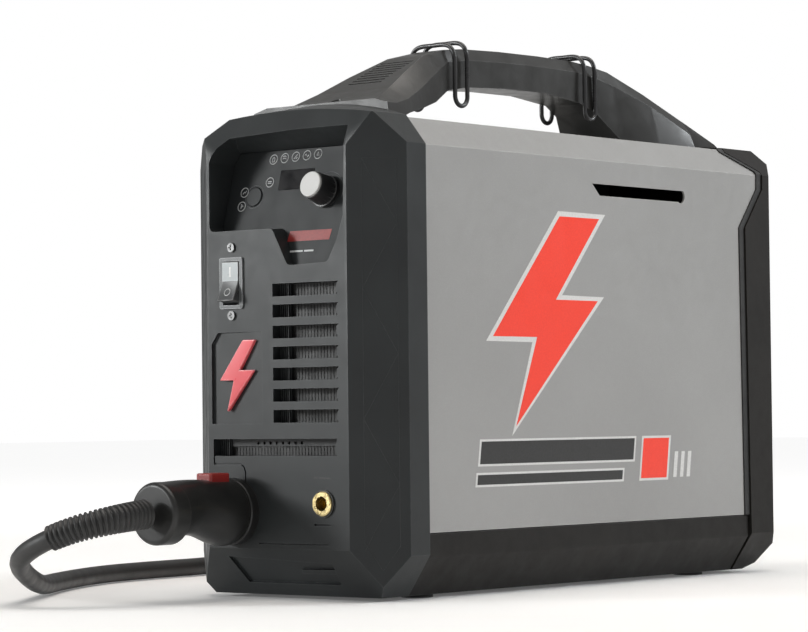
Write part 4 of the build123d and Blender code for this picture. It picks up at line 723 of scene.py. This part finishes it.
ridge_y, ridge_z = rocker_point(ROCKER_THICK, 0.0)
tip_y, tip_z = rocker_point(ROCKER_THICK + ROCKER_HALF * sin(ROCKER_TILT) / cos(ROCKER_TILT), -ROCKER_HALF)
ridge = Matrix.Translation((ROCKER_X * MM, ridge_y * MM, ridge_z * MM))
upper = ridge @ STANDING
down = Vector((0.0, tip_y - ridge_y, tip_z - ridge_z)).normalized()
out = Vector((0.0, down.z, -down.y))
lower = ridge @ Matrix((Vector((1, 0, 0)), -down, out)).transposed().to_4x4()
pale_film = moulded("rocker_pale", (0.30, 0.33, 0.34), (0.36, 0.39, 0.40), (0.25, 0.4),
                    worn=(0.6, 0.62, 0.63))
plate("rocker_film", [rectangle(-6.6, 0.6, 6.6, 12.3)], upper, 0.12, "rocker", "rocker_grey", pale_film)
plate("rocker_one", [rectangle(-0.6, 3.2, 0.6, 9.6)], upper, 0.18, "rocker", "rocker_grey", INK_WHITE)
wires("rocker_zero", [ring(0.0, -7.0, 2.3)], lower, 0.3, "rocker", "rocker_grey", INK_PALE)


# ---- floor and light -----------------------------------------------------------------------------

FLOOR_HALF, FLOOR_Z = 9.0, -0.0002
FILL = 0.32               # strength of the world where it lights the object


def floor():
    """Pale floor with a painted glow that grows with the distance from the object."""
    def build(grid):
        corners = rectangle(-FLOOR_HALF, -FLOOR_HALF, FLOOR_HALF, FLOOR_HALF)
        grid.faces.new([grid.verts.new(Vector((x, y, FLOOR_Z))) for x, y in corners])
    made = bpy.data.objects.new("floor", mesh_of("floor", build))
    bpy.context.scene.collection.objects.link(made)
    shader = Shader("floor")
    shader.into("Base Color", shader.mix(shader.spread(shader.noise(3.0, 3.0), 0.0, 1.0),
                                         (0.86, 0.86, 0.855), (0.90, 0.90, 0.895)))
    shader.into("Roughness", shader.spread(shader.noise(40.0, 4.0), 0.5, 0.6))
    # painted glow: white emission lifts the floor, weak near the object and strong away from it
    shader.set(Emission_Color=(1.0, 1.0, 1.0, 1.0))
    glow_by_distance = shader.node("ShaderNodeVectorMath", operation="LENGTH")
    shader.link(shader.place.outputs["Object"], glow_by_distance.inputs[0])
    shader.into("Emission Strength", shader.spread(glow_by_distance.outputs["Value"], 0.10, 0.66, 0.35, 1.7))
    made.data.materials.append(shader.material)


def area_light(name, place, target, size, power, tint, spread=180.0):
    data = bpy.data.lights.new(name, "AREA")
    data.shape = "RECTANGLE"
    data.size, data.size_y = size
    data.energy = power
    data.color = tint
    data.spread = radians(spread)
    made = bpy.data.objects.new(name, data)
    bpy.context.scene.collection.objects.link(made)
    made.location = place
    made.rotation_mode = "QUATERNION"
    made.rotation_quaternion = (Vector(target) - Vector(place)).to_track_quat("-Z", "Y")


floor()
area_light("front_box", (-1.55, -1.75, 0.85), (0.0, -0.2, 0.36), (1.1, 0.9), 2.0, (0.98, 1.0, 1.0), 22.0)
area_light("side_box", (1.5, 1.7, 1.5), (0.08, 0.24, 0.36), (0.8, 0.8), 1.6, (0.93, 0.97, 1.0), 34.0)
area_light("top_box", (0.1, 0.1, 2.1), (0.0, 0.0, 0.2), (1.8, 1.8), 34.0, (1.0, 0.95, 0.89))


def studio_world():
    """White where the camera looks past the object, dimmer where the world lights it."""
    world = bpy.data.worlds.new("studio")
    world.use_nodes = True
    tree = world.node_tree
    seen = tree.nodes["Background"]
    seen.inputs["Color"].default_value = (1.0, 1.0, 1.0, 1.0)
    seen.inputs["Strength"].default_value = 1.0
    fill = tree.nodes.new("ShaderNodeBackground")
    fill.inputs["Color"].default_value = (1.0, 1.0, 1.0, 1.0)
    fill.inputs["Strength"].default_value = FILL
    path = tree.nodes.new("ShaderNodeLightPath")
    choice = tree.nodes.new("ShaderNodeMixShader")
    tree.links.new(path.outputs["Is Camera Ray"], choice.inputs[0])
    tree.links.new(fill.outputs[0], choice.inputs[1])
    tree.links.new(seen.outputs[0], choice.inputs[2])
    tree.links.new(choice.outputs[0], tree.nodes["World Output"].inputs["Surface"])
    bpy.context.scene.world = world


studio_world()
bpy.context.scene.view_settings.view_transform = "Standard"
